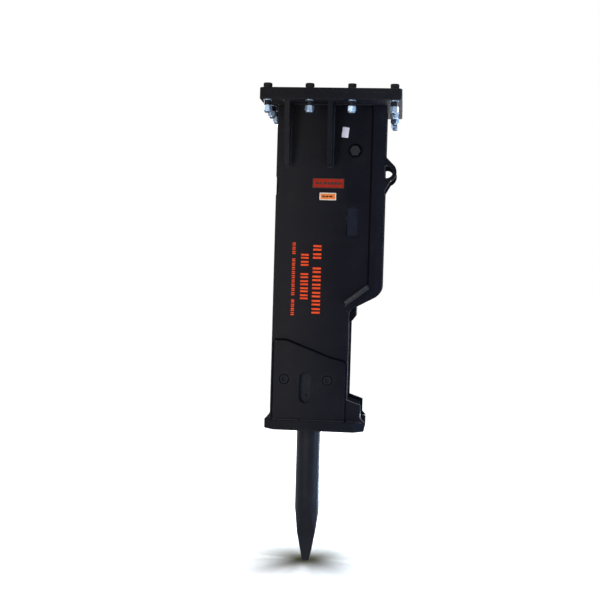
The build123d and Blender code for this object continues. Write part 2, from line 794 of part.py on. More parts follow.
with BuildPart() as lower_bushing:
    add(lower_sleeve)
    with BuildSketch(Plane.XY.offset(DUST_SEAL_BOTTOM)):
        Circle(DUST_SEAL_RADIUS)
    extrude(amount=DUST_SEAL_HEIGHT, mode=Mode.SUBTRACT)
save(lower_bushing.part, "lower_bushing")

dust_seal = ring(
    DUST_SEAL_RADIUS,
    TOOL_RADIUS + SLIDING_GAP,
    DUST_SEAL_BOTTOM,
    DUST_SEAL_BOTTOM + DUST_SEAL_HEIGHT,
)
save(dust_seal, "dust_seal")

upper_bushing = ring(
    BUSHING_RADIUS, TOOL_RADIUS + SLIDING_GAP, UPPER_BUSHING_BOTTOM, UPPER_BUSHING_TOP
)
save(upper_bushing, "upper_bushing")

with BuildPart() as retaining_pins:
    with BuildSketch(Plane.YZ.offset(-HEAD_X)):
        with Locations((-PIN_Y, PIN_Z), (PIN_Y, PIN_Z)):
            Circle(PIN_RADIUS)
    extrude(amount=2 * HEAD_X)
    for side in SIDES:
        with Locations(across(STOPPER_X, STOPPER_Z, side * HEAD_Y)):
            Cylinder(
                STOPPER_RADIUS + FIT_GAP,
                STOPPER_LENGTH,
                align=(Align.CENTER, Align.CENTER, Align.MAX),
                mode=Mode.SUBTRACT,
            )
save(retaining_pins.part, "retaining_pins")

with BuildPart() as pin_stoppers:
    with Locations(*[across(STOPPER_X, STOPPER_Z, side * HEAD_Y) for side in SIDES]):
        Cylinder(STOPPER_RADIUS, STOPPER_LENGTH, align=(Align.CENTER, Align.CENTER, Align.MAX))
        Cylinder(PLUG_RADIUS, PLUG_DEPTH, align=(Align.CENTER, Align.CENTER, Align.MAX))
save(pin_stoppers.part, "pin_stoppers")

NIPPLE_HEX = (13, 7)  # across flats, height
NIPPLE_STEM = 12
NIPPLE_NECK = 16
NIPPLE_BALL = 4.6

nipple_hex = hex_body(*NIPPLE_HEX)

with BuildPart() as grease_nipple:
    with Locations(across(SLOT[0], NIPPLE_Z, -HEAD_Y)):
        Cylinder(NIPPLE_RADIUS, NIPPLE_STEM, align=(Align.CENTER, Align.CENTER, Align.MAX))
        add(nipple_hex)
        Cylinder(NIPPLE_RADIUS, NIPPLE_NECK, align=(Align.CENTER, Align.CENTER, Align.MIN))
        with Locations((0, 0, NIPPLE_NECK)):
            Sphere(NIPPLE_BALL)
save(grease_nipple.part, "grease_nipple")

TOOL_TOP = -1475
FLAT_TOP = PIN_Z + PIN_RADIUS + 0.5
FLAT_BOTTOM = PIN_Z - PIN_RADIUS - TOOL_TRAVEL - 1
FLAT_MIDDLE = (FLAT_TOP + FLAT_BOTTOM) / 2
FLAT_END_RADIUS = 25
FLAT_CUTTER = 80
TOOL_CHAMFER = 8
POINT_LENGTH = 345
POINT_KNEE = (58, TIP_Z + 194)
POINT_HALF_WIDTH = 22

with BuildPart() as chisel:
    with Locations((0, 0, TIP_Z)):
        Cylinder(TOOL_RADIUS, TOOL_TOP - TIP_Z, align=(Align.CENTER, Align.CENTER, Align.MIN))
    chamfer(chisel.edges().group_by(Axis.Z)[-1], TOOL_CHAMFER)
    for side in SIDES:
        with BuildSketch(Plane.YZ):
            with Locations((side * (TOOL_RADIUS - FLAT_DEPTH + FLAT_CUTTER / 2), FLAT_MIDDLE)):
                RectangleRounded(FLAT_CUTTER, FLAT_TOP - FLAT_BOTTOM, FLAT_END_RADIUS)
        extrude(amount=TOOL_RADIUS, both=True, mode=Mode.SUBTRACT)
    for turn in (0, 90, 180, 270):
        with BuildSketch(Plane.XZ.rotated((0, 0, turn))):
            with BuildLine():
                Polyline(
                    (POINT_HALF_WIDTH, TIP_Z),
                    POINT_KNEE,
                    (TOOL_RADIUS, TIP_Z + POINT_LENGTH),
                    (2 * TOOL_RADIUS, TIP_Z + POINT_LENGTH),
                    (2 * TOOL_RADIUS, TIP_Z),
                    close=True,
                )
            make_face()
        extrude(amount=TOOL_RADIUS, both=True, mode=Mode.SUBTRACT)
save(chisel.part, "chisel")

# ---------------------------------------------------------------- cylinder, piston and back head

GUIDE_TOP = -1250
RETAINER_BOTTOM = -740
RETAINER_RADIUS = 95
SEAL_DEPTH = 8
SEAL_HEIGHT = 8
ROD_SEALS = (-1372, -1346)
GAS_SEALS = (-724, -692, -660)
GALLERIES = (-1100, -980, ACCUMULATOR_Z)
GALLERY_RADIUS = 8
VALVE_SCREWS = [(y, z) for y in (-60, 60) for z in (VALVE_BOTTOM + 22, VALVE_TOP - 50)]
M20 = 10
VALVE_SCREW_DEPTH = 40
PISTON_BOTTOM = TOOL_TOP + TOOL_TRAVEL + 1
PISTON_TOP = -560
GAS_CHAMBER_RADIUS = 80
GAS_CHAMBER_TOP = -330
GAS_PORT_Z = -400
GAS_PORT_RADIUS = 14

with BuildPart() as cylinder:
    with BuildSketch(Plane.XY.offset(HEAD_TOP)):
        RectangleRounded(2 * CYLINDER_X, 2 * CYLINDER_Y, CELL_CORNER)
        Circle(ROD_RADIUS + SLIDING_GAP, mode=Mode.SUBTRACT)
        with Locations(*TIE_PLACES):
            Circle(TIE_RADIUS + 1, mode=Mode.SUBTRACT)
    extrude(amount=CYLINDER_TOP - HEAD_TOP)
    with BuildSketch(Plane.XY.offset(GUIDE_TOP)):
        Circle(LAND_RADIUS + SLIDING_GAP)
    extrude(amount=RETAINER_BOTTOM - GUIDE_TOP, mode=Mode.SUBTRACT)
    with BuildSketch(Plane.XY.offset(RETAINER_BOTTOM)):
        Circle(RETAINER_RADIUS + FIT_GAP)
    extrude(amount=CYLINDER_TOP - RETAINER_BOTTOM, mode=Mode.SUBTRACT)
    for z in ROD_SEALS:
        with BuildSketch(Plane.XY.offset(z)):
            Circle(ROD_RADIUS + SEAL_DEPTH)
        extrude(amount=SEAL_HEIGHT, mode=Mode.SUBTRACT)
    with BuildSketch(Plane.YZ.offset(CYLINDER_X)):
        with Locations(*[(0, z) for z in GALLERIES]):
            Circle(GALLERY_RADIUS)
    extrude(amount=-(CYLINDER_X - ROD_RADIUS), mode=Mode.SUBTRACT)
    with BuildSketch(Plane.YZ.offset(CYLINDER_X)):
        with Locations(*VALVE_SCREWS):
            Circle(M20 + FIT_GAP)
    extrude(amount=-VALVE_SCREW_DEPTH, mode=Mode.SUBTRACT)
save(cylinder.part, "cylinder")

retainer_blank = ring(
    RETAINER_RADIUS, GAS_ROD_RADIUS + SLIDING_GAP, RETAINER_BOTTOM, CYLINDER_TOP
)

with BuildPart() as seal_retainer:
    add(retainer_blank)
    for z in GAS_SEALS:
        with BuildSketch(Plane.XY.offset(z)):
            Circle(GAS_ROD_RADIUS + SEAL_DEPTH)
        extrude(amount=SEAL_HEIGHT, mode=Mode.SUBTRACT)
save(seal_retainer.part, "seal_retainer")

with BuildPart() as piston_seals:
    for rod, levels in ((ROD_RADIUS, ROD_SEALS), (GAS_ROD_RADIUS, GAS_SEALS)):
        for z in levels:
            with BuildSketch(Plane.XY.offset(z)):
                Circle(rod + SEAL_DEPTH)
                Circle(rod + SLIDING_GAP, mode=Mode.SUBTRACT)
            extrude(amount=SEAL_HEIGHT)
save(piston_seals.part, "piston_seals")

LOWER_LAND = (GUIDE_TOP + 5, GUIDE_TOP + 100)
UPPER_LAND = (GUIDE_TOP + 265, GUIDE_TOP + 360)
LAND_TAPER = 10
PISTON_CHAMFER = 4

with BuildPart() as piston:
    with BuildSketch(Plane.XZ):
        with BuildLine():
            Polyline(
                (0, PISTON_BOTTOM),
                (ROD_RADIUS, PISTON_BOTTOM),
                (ROD_RADIUS, LOWER_LAND[0]),
                (LAND_RADIUS, LOWER_LAND[0]),
                (LAND_RADIUS, LOWER_LAND[1]),
                (GAS_ROD_RADIUS, LOWER_LAND[1] + LAND_TAPER),
                (GAS_ROD_RADIUS, UPPER_LAND[0] - LAND_TAPER),
                (LAND_RADIUS, UPPER_LAND[0]),
                (LAND_RADIUS, UPPER_LAND[1]),
                (GAS_ROD_RADIUS, UPPER_LAND[1]),
                (GAS_ROD_RADIUS, PISTON_TOP),
                (0, PISTON_TOP),
                close=True,
            )
        make_face()
    revolve(axis=Axis.Z)
    chamfer(piston.edges().filter_by(GeomType.CIRCLE).group_by(Axis.Z)[0], PISTON_CHAMFER)
    chamfer(piston.edges().filter_by(GeomType.CIRCLE).group_by(Axis.Z)[-1], PISTON_CHAMFER)
save(piston.part, "piston")

GAS_PORT_DEPTH = 40
GAS_PASSAGE = 4
TIE_CLEARANCE = TIE_RADIUS + 1
BACK_CHAMFER = 8

with BuildPart() as back_head:
    with BuildSketch(Plane.XY.offset(CYLINDER_TOP)):
        RectangleRounded(2 * CYLINDER_X, 2 * CYLINDER_Y, CELL_CORNER)
        with Locations(*TIE_PLACES):
            Circle(TIE_CLEARANCE, mode=Mode.SUBTRACT)
    extrude(amount=BACK_TOP - CYLINDER_TOP)
    chamfer(back_head.faces().sort_by(Axis.Z)[-1].outer_wire().edges(), BACK_CHAMFER)
    with BuildSketch(Plane.XY.offset(CYLINDER_TOP)):
        Circle(GAS_CHAMBER_RADIUS)
    extrude(amount=GAS_CHAMBER_TOP - CYLINDER_TOP, mode=Mode.SUBTRACT)
    with BuildSketch(Plane.YZ.offset(CYLINDER_X)):
        with Locations((0, GAS_PORT_Z)):
            Circle(GAS_PORT_RADIUS + FIT_GAP)
    extrude(amount=-GAS_PORT_DEPTH, mode=Mode.SUBTRACT)
    with BuildSketch(Plane.YZ.offset(CYLINDER_X)):
        with Locations((0, GAS_PORT_Z)):
            Circle(GAS_PASSAGE)
    extrude(amount=-(CYLINDER_X - GAS_CHAMBER_RADIUS + 5), mode=Mode.SUBTRACT)
save(back_head.part, "back_head")

GAS_VALVE_HEX = (36, 14)  # across flats, height
GAS_VALVE_SHANK = GAS_PORT_DEPTH - 2
GAS_VALVE_STEM = (10, 30)  # radius, height

gas_valve_hex = hex_body(*GAS_VALVE_HEX)

with BuildPart() as gas_valve:
    with Locations(Location((CYLINDER_X, 0, GAS_PORT_Z), (0, 90, 0))):
        Cylinder(GAS_PORT_RADIUS, GAS_VALVE_SHANK, align=(Align.CENTER, Align.CENTER, Align.MAX))
        add(gas_valve_hex)
        Cylinder(*GAS_VALVE_STEM, align=(Align.CENTER, Align.CENTER, Align.MIN))
    chamfer(gas_valve.faces().sort_by(Axis.X)[-1].edges(), 2)
save(gas_valve.part, "gas_valve")

TIE_WASHER_HEIGHT = 8
TIE_NUT_HEIGHT = 38
TIE_WASHER_RADIUS = 36
TIE_HEX = 65
TIE_BOTTOM = TIE_HOLE_BOTTOM + 5
TIE_TOP = BACK_TOP + TIE_WASHER_HEIGHT + TIE_NUT_HEIGHT + 7

with BuildPart() as through_bolts:
    with Locations(*[(x, y, TIE_BOTTOM) for x, y in TIE_PLACES]):
        Cylinder(TIE_RADIUS, TIE_TOP - TIE_BOTTOM, align=(Align.CENTER, Align.CENTER, Align.MIN))
    chamfer(through_bolts.edges().filter_by(GeomType.CIRCLE), 3)
save(through_bolts.part, "through_bolts")

with BuildPart() as through_washers:
    with BuildSketch(Plane.XY.offset(BACK_TOP)):
        with Locations(*TIE_PLACES):
            Circle(TIE_WASHER_RADIUS)
            Circle(TIE_CLEARANCE, mode=Mode.SUBTRACT)
    extrude(amount=TIE_WASHER_HEIGHT)
save(through_washers.part, "through_washers")

through_nut_hex = hex_body(TIE_HEX, TIE_NUT_HEIGHT)

with BuildPart() as through_nut:
    add(through_nut_hex)
    Cylinder(TIE_RADIUS + FIT_GAP, 3 * TIE_NUT_HEIGHT, mode=Mode.SUBTRACT)

with BuildPart() as through_nuts:
    with Locations(*[(x, y, BACK_TOP + TIE_WASHER_HEIGHT) for x, y in TIE_PLACES]):
        add(through_nut.part)
save(through_nuts.part, "through_nuts")

# ---------------------------------------------------------------- valve group

SPOOL_BOTTOM = VALVE_BOTTOM + 40
SPOOL_LENGTH = 165
SPOOL_GROOVES = [SPOOL_BOTTOM + rise for rise in (28, 72, 116)]
GROOVE_HEIGHT = 20
GROOVE_DEPTH = 8
VALVE_CORNER = 18
VALVE_CAP_HEIGHT = 32
VALVE_CAP_PLACES = [(VALVE_X + x, y) for x in (-42, 42) for y in (-48, 48)]
VALVE_CAP_SIZE = (124, 150)
VALVE_CAP_CORNER = 16
CAP_SCREW_DEPTH = 32
M16 = 8
M16_CLEARANCE = M16 + 0.5
M16_HEAD = (12, 16)  # radius, height
M16_SOCKET = 14
M20_HEAD = (15, 20)
M20_SOCKET = 17
PORT_BORE = 12.5
PORT_REACH = SPIGOT + 40
SPIGOT_RADIUS = 22
ADAPTER_LENGTH = 78

with BuildPart() as valve_body:
    with BuildSketch(Plane.XY.offset(VALVE_BOTTOM)) as valve_outline:
        with Locations((CYLINDER_X, 0)):
            Rectangle(VALVE_FRONT_X - CYLINDER_X, 2 * VALVE_Y, align=(Align.MIN, Align.CENTER))
        fillet(valve_outline.vertices().group_by(Axis.X)[-1], VALVE_CORNER)
    extrude(amount=VALVE_TOP - VALVE_BOTTOM)
    with BuildSketch(Plane.XY.offset(VALVE_TOP)):
        with Locations((VALVE_X, 0)):
            Circle(SPOOL_RADIUS + SLIDING_GAP)
    extrude(amount=SPOOL_BOTTOM - 2 - VALVE_TOP, mode=Mode.SUBTRACT)
    with BuildSketch(Plane.XY.offset(VALVE_TOP)):
        with Locations(*VALVE_CAP_PLACES):
            Circle(M16 + FIT_GAP)
    extrude(amount=-CAP_SCREW_DEPTH, mode=Mode.SUBTRACT)
    with BuildSketch(Plane.YZ.offset(CYLINDER_X)):
        with Locations(*VALVE_SCREWS):
            Circle(M20 + 0.5)
    extrude(amount=VALVE_FRONT_X - CYLINDER_X, mode=Mode.SUBTRACT)
    with BuildSketch(Plane.YZ.offset(CYLINDER_X)):
        with Locations(*[(0, z) for z in GALLERIES[:2]]):
            Circle(GALLERY_RADIUS)
    extrude(amount=VALVE_X - CYLINDER_X, mode=Mode.SUBTRACT)
    with BuildSketch(Plane.YZ.offset(VALVE_FRONT_X)):
        with Locations((-PORT_Y, PORT_Z), (PORT_Y, PORT_Z)):
            Circle(SPIGOT_RADIUS + FIT_GAP)
    extrude(amount=-SPIGOT, mode=Mode.SUBTRACT)
    with BuildSketch(Plane.YZ.offset(VALVE_FRONT_X)):
        with Locations((-PORT_Y, PORT_Z), (PORT_Y, PORT_Z)):
            Circle(PORT_BORE - 2)
    extrude(amount=-PORT_REACH, mode=Mode.SUBTRACT)
save(valve_body.part, "valve_body")

with BuildPart() as valve_spool:
    with BuildSketch(Plane.XY.offset(SPOOL_BOTTOM)):
        with Locations((VALVE_X, 0)):
            Circle(SPOOL_RADIUS)
    extrude(amount=SPOOL_LENGTH)
    for z in SPOOL_GROOVES:
        with BuildSketch(Plane.XY.offset(z)):
            with Locations((VALVE_X, 0)):
                Circle(SPOOL_RADIUS + 1)
                Circle(SPOOL_RADIUS - GROOVE_DEPTH, mode=Mode.SUBTRACT)
        extrude(amount=GROOVE_HEIGHT, mode=Mode.SUBTRACT)
save(valve_spool.part, "valve_spool")

with BuildPart() as valve_cap:
    with BuildSketch(Plane.XY.offset(VALVE_TOP)):
        with Locations((VALVE_X, 0)):
            RectangleRounded(*VALVE_CAP_SIZE, VALVE_CAP_CORNER)
        with Locations(*VALVE_CAP_PLACES):
            Circle(M16_CLEARANCE, mode=Mode.SUBTRACT)
    extrude(amount=VALVE_CAP_HEIGHT)
    chamfer(valve_cap.faces().sort_by(Axis.Z)[-1].outer_wire().edges(), 4)
save(valve_cap.part, "valve_cap")

CAP_SCREW_LENGTH = VALVE_CAP_HEIGHT + CAP_SCREW_DEPTH - 4
BLOCK_SCREW_LENGTH = VALVE_FRONT_X - CYLINDER_X + VALVE_SCREW_DEPTH - 4

cap_screw = socket_screw(M16, *M16_HEAD, CAP_SCREW_LENGTH, M16_SOCKET)
block_screw = socket_screw(M20, *M20_HEAD, BLOCK_SCREW_LENGTH, M20_SOCKET)

with BuildPart() as valve_bolts:
    with Locations(*[(x, y, VALVE_TOP + VALVE_CAP_HEIGHT) for x, y in VALVE_CAP_PLACES]):
        add(cap_screw)
    with Locations(*[Location((VALVE_FRONT_X, y, z), (0, 90, 0)) for y, z in VALVE_SCREWS]):
        add(block_screw)
save(valve_bolts.part, "valve_bolts")

ADAPTER_HEX = (50, 24)  # across flats, height
ADAPTER_RADIUS = 21

adapter_hex = hex_body(*ADAPTER_HEX)

with BuildPart() as adapter:
    Cylinder(SPIGOT_RADIUS, SPIGOT, align=(Align.CENTER, Align.CENTER, Align.MAX))
    add(adapter_hex)
    Cylinder(ADAPTER_RADIUS, ADAPTER_LENGTH, align=(Align.CENTER, Align.CENTER, Align.MIN))
    chamfer(adapter.faces().sort_by(Axis.Z)[-1].edges(), 3)
    Cylinder(PORT_BORE, 3 * ADAPTER_LENGTH, mode=Mode.SUBTRACT)

for label, y in (("inlet_adapter", -PORT_Y), ("outlet_adapter", PORT_Y)):
    with BuildPart() as placed_adapter:
        with Locations(Location((VALVE_FRONT_X, y, PORT_Z), (0, 90, 0))):
            add(adapter.part)
    save(placed_adapter.part, label)

# ---------------------------------------------------------------- accumulator

SHELL_RADIUS = 95
SHELL_JOINT_X = 250
SHELL_FRONT_X = 320
SHELL_WALL = 20
SHELL_HOLLOW = 60
COVER_HOLLOW = 45
DIAPHRAGM_RADIUS = 70
DIAPHRAGM_THICKNESS = 6
M16_CIRCLE = 82
SCREW_DEPTH = 52
accumulator_places = [
    (M16_CIRCLE * cos(radians(turn)), ACCUMULATOR_Z + M16_CIRCLE * sin(radians(turn)))
    for turn in range(0, 360, 45)
]

with BuildPart() as accumulator_body:
    with BuildSketch(Plane.YZ.offset(CYLINDER_X)):
        with Locations((0, ACCUMULATOR_Z)):
            Circle(SHELL_RADIUS)
            Circle(GALLERY_RADIUS, mode=Mode.SUBTRACT)
    extrude(amount=SHELL_JOINT_X - CYLINDER_X)
    with BuildSketch(Plane.YZ.offset(CYLINDER_X + SHELL_WALL)):
        with Locations((0, ACCUMULATOR_Z)):
            Circle(SHELL_HOLLOW)
    extrude(amount=SHELL_JOINT_X - CYLINDER_X - SHELL_WALL, mode=Mode.SUBTRACT)
    with BuildSketch(Plane.YZ.offset(SHELL_JOINT_X)):
        with Locations((0, ACCUMULATOR_Z)):
            Circle(DIAPHRAGM_RADIUS + FIT_GAP)
    extrude(amount=-DIAPHRAGM_THICKNESS, mode=Mode.SUBTRACT)
    with BuildSketch(Plane.YZ.offset(SHELL_JOINT_X)):
        with Locations(*accumulator_places):
            Circle(M16 + FIT_GAP)
    extrude(amount=-SCREW_DEPTH, mode=Mode.SUBTRACT)
save(accumulator_body.part, "accumulator_body")

with BuildPart() as accumulator_diaphragm:
    with BuildSketch(Plane.YZ.offset(SHELL_JOINT_X)):
        with Locations((0, ACCUMULATOR_Z)):
            Circle(DIAPHRAGM_RADIUS)
    extrude(amount=-DIAPHRAGM_THICKNESS)
save(accumulator_diaphragm.part, "accumulator_diaphragm")

with BuildPart() as accumulator_cover:
    with BuildSketch(Plane.YZ.offset(SHELL_JOINT_X)):
        with Locations((0, ACCUMULATOR_Z)):
            Circle(SHELL_RADIUS)
    extrude(amount=SHELL_FRONT_X - SHELL_JOINT_X)
    chamfer(accumulator_cover.faces().sort_by(Axis.X)[-1].edges(), 5)
    with BuildSketch(Plane.YZ.offset(SHELL_JOINT_X)):
        with Locations((0, ACCUMULATOR_Z)):
            Circle(SHELL_HOLLOW)
    extrude(amount=COVER_HOLLOW, mode=Mode.SUBTRACT)
    with BuildSketch(Plane.YZ.offset(SHELL_JOINT_X)):
        with Locations(*accumulator_places):
            Circle(M16_CLEARANCE)
    extrude(amount=SHELL_FRONT_X - SHELL_JOINT_X, mode=Mode.SUBTRACT)
save(accumulator_cover.part, "accumulator_cover")

COVER_SCREW_LENGTH = SHELL_FRONT_X - SHELL_JOINT_X + SCREW_DEPTH - 4

cover_screw = socket_screw(M16, *M16_HEAD, COVER_SCREW_LENGTH, M16_SOCKET)

with BuildPart() as accumulator_bolts:
    with Locations(*[Location((SHELL_FRONT_X, y, z), (0, 90, 0)) for y, z in accumulator_places]):
        add(cover_screw)
save(accumulator_bolts.part, "accumulator_bolts")

# ---------------------------------------------------------------- buffers around the power cell

BUFFER_RADIUS = 100
SIDE_BUFFER_LEVELS = (-500, -1290)
SIDE_BUFFER_SIZE = (130, 130)
SIDE_BUFFER_CORNER = 15
BUFFER_INSET = 10

with BuildPart() as upper_buffer:
    with BuildSketch(Plane.XY.offset(BACK_TOP)):
        Circle(BUFFER_RADIUS)
    extrude(amount=CAP_BOTTOM - BACK_TOP)
    chamfer(upper_buffer.edges(), 6)
save(upper_buffer.part, "upper_buffer")

with BuildPart() as lower_buffer:
    with BuildSketch(Plane.XY.offset(BASE_TOP)):
        RectangleRounded(2 * (HEAD_X - BUFFER_INSET), 2 * (HEAD_Y - BUFFER_INSET), CELL_CORNER)
        Circle(BASE_BORE, mode=Mode.SUBTRACT)
    extrude(amount=HEAD_BOTTOM - BASE_TOP)
save(lower_buffer.part, "lower_buffer")

with BuildPart() as side_buffers:
    for side in SIDES:
        with BuildSketch(Plane.XZ.offset(side * CYLINDER_Y)):
            with Locations(*[(0, z) for z in SIDE_BUFFER_LEVELS]):
                RectangleRounded(*SIDE_BUFFER_SIZE, SIDE_BUFFER_CORNER)
        extrude(amount=side * (INNER_Y - CYLINDER_Y))
save(side_buffers.part, "side_buffers")
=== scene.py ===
"""Looks of a box-housed hydraulic breaker hammer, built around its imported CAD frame."""

import json
import math
import random

import bpy
from mathutils import Matrix, Vector, noise


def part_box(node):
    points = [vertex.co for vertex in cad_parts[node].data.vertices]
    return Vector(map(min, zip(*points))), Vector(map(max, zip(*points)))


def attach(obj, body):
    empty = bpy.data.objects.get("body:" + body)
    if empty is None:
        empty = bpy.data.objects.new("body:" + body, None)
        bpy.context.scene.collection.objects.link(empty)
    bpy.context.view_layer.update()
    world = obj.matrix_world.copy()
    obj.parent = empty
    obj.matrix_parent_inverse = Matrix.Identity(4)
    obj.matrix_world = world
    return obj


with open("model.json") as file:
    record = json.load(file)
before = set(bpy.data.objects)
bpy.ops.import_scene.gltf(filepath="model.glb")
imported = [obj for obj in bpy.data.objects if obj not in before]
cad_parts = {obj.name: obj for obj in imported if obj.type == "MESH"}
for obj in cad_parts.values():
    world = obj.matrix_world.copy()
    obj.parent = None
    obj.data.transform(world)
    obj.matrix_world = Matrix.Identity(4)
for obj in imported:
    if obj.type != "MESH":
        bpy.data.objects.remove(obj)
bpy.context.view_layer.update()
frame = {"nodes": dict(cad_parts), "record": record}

MM = 0.001
BODY = "housing"
SIDES = (-1, 1)


# ---------------------------------------------------------------- material helpers

EDGE_BAND = (0.985, 0.80)  # cosines between which a surface counts as turning into an edge
EDGE_SAMPLES = 6
EVEN = (0.35, 0.65)  # noise that fades softly from patch to patch
SOFT = (0.3, 0.7)
MOTTLED = (0.42, 0.66)


def node(tree, kind, inputs=None, **settings):
    """Adds a shader node. Inputs are values, or the output sockets they are fed from."""
    made = tree.nodes.new(kind)
    for key, value in settings.items():
        setattr(made, key, value)
    for key, value in (inputs or {}).items():
        if isinstance(value, bpy.types.NodeSocket):
            tree.links.new(value, made.inputs[key])
        else:
            made.inputs[key].default_value = value
    return made


def place(tree, stretch=(1, 1, 1)):
    """The surface's place in the object's own frame, in metres, stretched per axis."""
    coords = node(tree, "ShaderNodeTexCoord").outputs["Object"]
    return node(tree, "ShaderNodeMapping", {"Vector": coords, "Scale": stretch}).outputs["Vector"]


def along(tree, axis):
    """How far along X, Y or Z the surface is, in metres."""
    return node(tree, "ShaderNodeSeparateXYZ", {"Vector": place(tree)}).outputs[axis]


def grain(tree, scale, detail=4, roughness=0.55, stretch=(1, 1, 1)):
    """Noise of so many features per metre."""
    inputs = {"Vector": place(tree, stretch), "Scale": scale, "Detail": detail, "Roughness": roughness}
    return node(tree, "ShaderNodeTexNoise", inputs).outputs["Fac"]


def spread(tree, value, band, to_low=0.0, to_high=1.0):
    """Remaps a band of values to to_low..to_high, clamped."""
    low, high = band
    inputs = {"Value": value, "From Min": low, "From Max": high, "To Min": to_low, "To Max": to_high}
    return node(tree, "ShaderNodeMapRange", inputs).outputs["Result"]


def maths(tree, operation, a, b=0.0):
    return node(tree, "ShaderNodeMath", {0: a, 1: b}, operation=operation).outputs["Value"]


def blend(tree, share, a, b):
    """Colour a where share is 0, b where it is 1."""
    made = node(tree, "ShaderNodeMix", data_type="RGBA")
    sockets = [s for s in made.inputs if s.enabled]
    for socket, value in zip(sockets, (share, a, b)):
        if isinstance(value, bpy.types.NodeSocket):
            tree.links.new(value, socket)
        else:
            socket.default_value = value if isinstance(value, float) else (*value, 1.0)
    return [s for s in made.outputs if s.enabled][0]


def bump(tree, height, depth, normal=None):
    inputs = {"Height": height, "Distance": depth}
    if normal is not None:
        inputs["Normal"] = normal
    return node(tree, "ShaderNodeBump", inputs).outputs["Normal"]


def rounded_edges(tree, radius):
    """A normal that rounds sharp edges, and how much of an edge each point is on."""
    soft = node(tree, "ShaderNodeBevel", {"Radius": radius}, samples=EDGE_SAMPLES).outputs["Normal"]
    flat = node(tree, "ShaderNodeNewGeometry").outputs["Normal"]
    facing = node(tree, "ShaderNodeVectorMath", {0: soft, 1: flat}, operation="DOT_PRODUCT")
    return soft, spread(tree, facing.outputs["Value"], EDGE_BAND)


def material(name, build):
    """A node material, which build finishes by returning the main shader's inputs."""
    made = bpy.data.materials.new(name)
    made.use_nodes = True
    tree = made.node_tree
    shader = tree.nodes["Principled BSDF"]
    for key, value in build(tree).items():
        if isinstance(value, bpy.types.NodeSocket):
            tree.links.new(value, shader.inputs[key])
        elif key == "Base Color":
            shader.inputs[key].default_value = (*value, 1.0)
        else:
            shader.inputs[key].default_value = value
    return made


# ---------------------------------------------------------------- finishes

DUST = (0.030, 0.028, 0.026)
# Painted light: the lighter tone the paint takes towards the rear.
PAINTED_LIGHT_TONE = (0.0125, 0.0120, 0.0138)
BARE_STEEL = (0.30, 0.30, 0.31)
SCUFF = (0.05, 0.05, 0.055)
WORN_TIP = (0.012, 0.013, 0.020)
# Painted highlight along the edges of bright metal.
PAINTED_EDGE_GLINT = (0.8, 0.8, 0.8)
LEDGE_BAND = (0.35, 0.95)  # upward part of the normal, from where dust starts to where it lies
CLOUD_SHARE = 0.35
PAINTED_LIGHT_BAND = (0.20, -0.12)  # X in metres, from no painted light to full painted light
SHINE_BAND = (0.10, 0.30)  # X in metres, over which a paint's shine changes
CHIP_METAL = 0.8
RUBBED_SHARE = 0.5
STEEL_SHINE = 0.15
TIP_WEAR_HEIGHTS = (0.16, 0.01)  # above the tool's point, from none to full


def dusty(tree, colour, amount):
    """Settles fine dust on what faces up and in broad faint clouds elsewhere."""
    up = node(tree, "ShaderNodeNewGeometry").outputs["Normal"]
    rise = node(tree, "ShaderNodeSeparateXYZ", {"Vector": up}).outputs["Z"]
    ledge = spread(tree, rise, LEDGE_BAND, 0.0, amount)
    clouds = spread(tree, grain(tree, 5, 8, 0.65), (0.48, 0.75), 0.0, CLOUD_SHARE * amount)
    return blend(tree, maths(tree, "ADD", ledge, clouds), colour, DUST)


def painted(colour, deep, roughness, wear=0.5, dust=0.3, painted_light=0.8, shine=0.03):
    """Sprayed satin paint on plate: orange peel, broad tone changes, chips along edges.

    Shine is the specular level, or its values at the two ends of SHINE_BAND. Painted light lightens
    the coat towards the rear, by the share painted_light.
    """

    def build(tree):
        soft, edge = rounded_edges(tree, 3.5 * MM)
        coat = blend(tree, spread(tree, grain(tree, 3.2, 6), EVEN), colour, deep)
        spot = along(tree, "X")
        # Painted light: the coat turns to a lighter tone towards the rear (negative X), as if the
        # light fell brighter there.
        coat = blend(tree, spread(tree, spot, PAINTED_LIGHT_BAND, 0.0, painted_light), coat, PAINTED_LIGHT_TONE)
        chipped = spread(tree, grain(tree, 55, 8, 0.7), (0.56, 0.62))
        chips = maths(tree, "MULTIPLY", maths(tree, "MULTIPLY", edge, chipped), wear)
        coat = blend(tree, chips, dusty(tree, coat, dust), BARE_STEEL)
        peel = bump(tree, grain(tree, 620, 2), 0.18 * MM, soft)
        rolled = bump(tree, grain(tree, 26, 5), 0.55 * MM, peel)
        gloss = spread(tree, grain(tree, 14, 7, 0.6), SOFT, roughness - 0.07, roughness + 0.10)
        level = shine if isinstance(shine, float) else spread(tree, spot, SHINE_BAND, *shine)
        return {
            "Base Color": coat,
            "Roughness": gloss,
            "Specular IOR Level": level,
            "Normal": rolled,
            "Metallic": maths(tree, "MULTIPLY", chips, CHIP_METAL),
        }

    return build


def metal(colour, tint, roughness, scratch=(40, 40, 900), depth=0.05, metallic=1.0):
    """Machined or plated metal: fine tool marks one way, slow changes of tone."""

    def build(tree):
        soft, edge = rounded_edges(tree, 1.2 * MM)
        coat = blend(tree, spread(tree, grain(tree, 22, 6), EVEN), colour, tint)
        # Painted highlight: the coat turns towards near-white along edges, as if they caught the
        # light.
        coat = blend(tree, maths(tree, "MULTIPLY", edge, 0.35), coat, PAINTED_EDGE_GLINT)
        marks = grain(tree, 1, 3, 0.6, scratch)
        return {
            "Base Color": coat,
            "Metallic": metallic,
            "Roughness": spread(tree, grain(tree, 90, 5), SOFT, roughness - 0.06, roughness + 0.10),
            "Normal": bump(tree, marks, depth * MM, soft),
        }

    return build


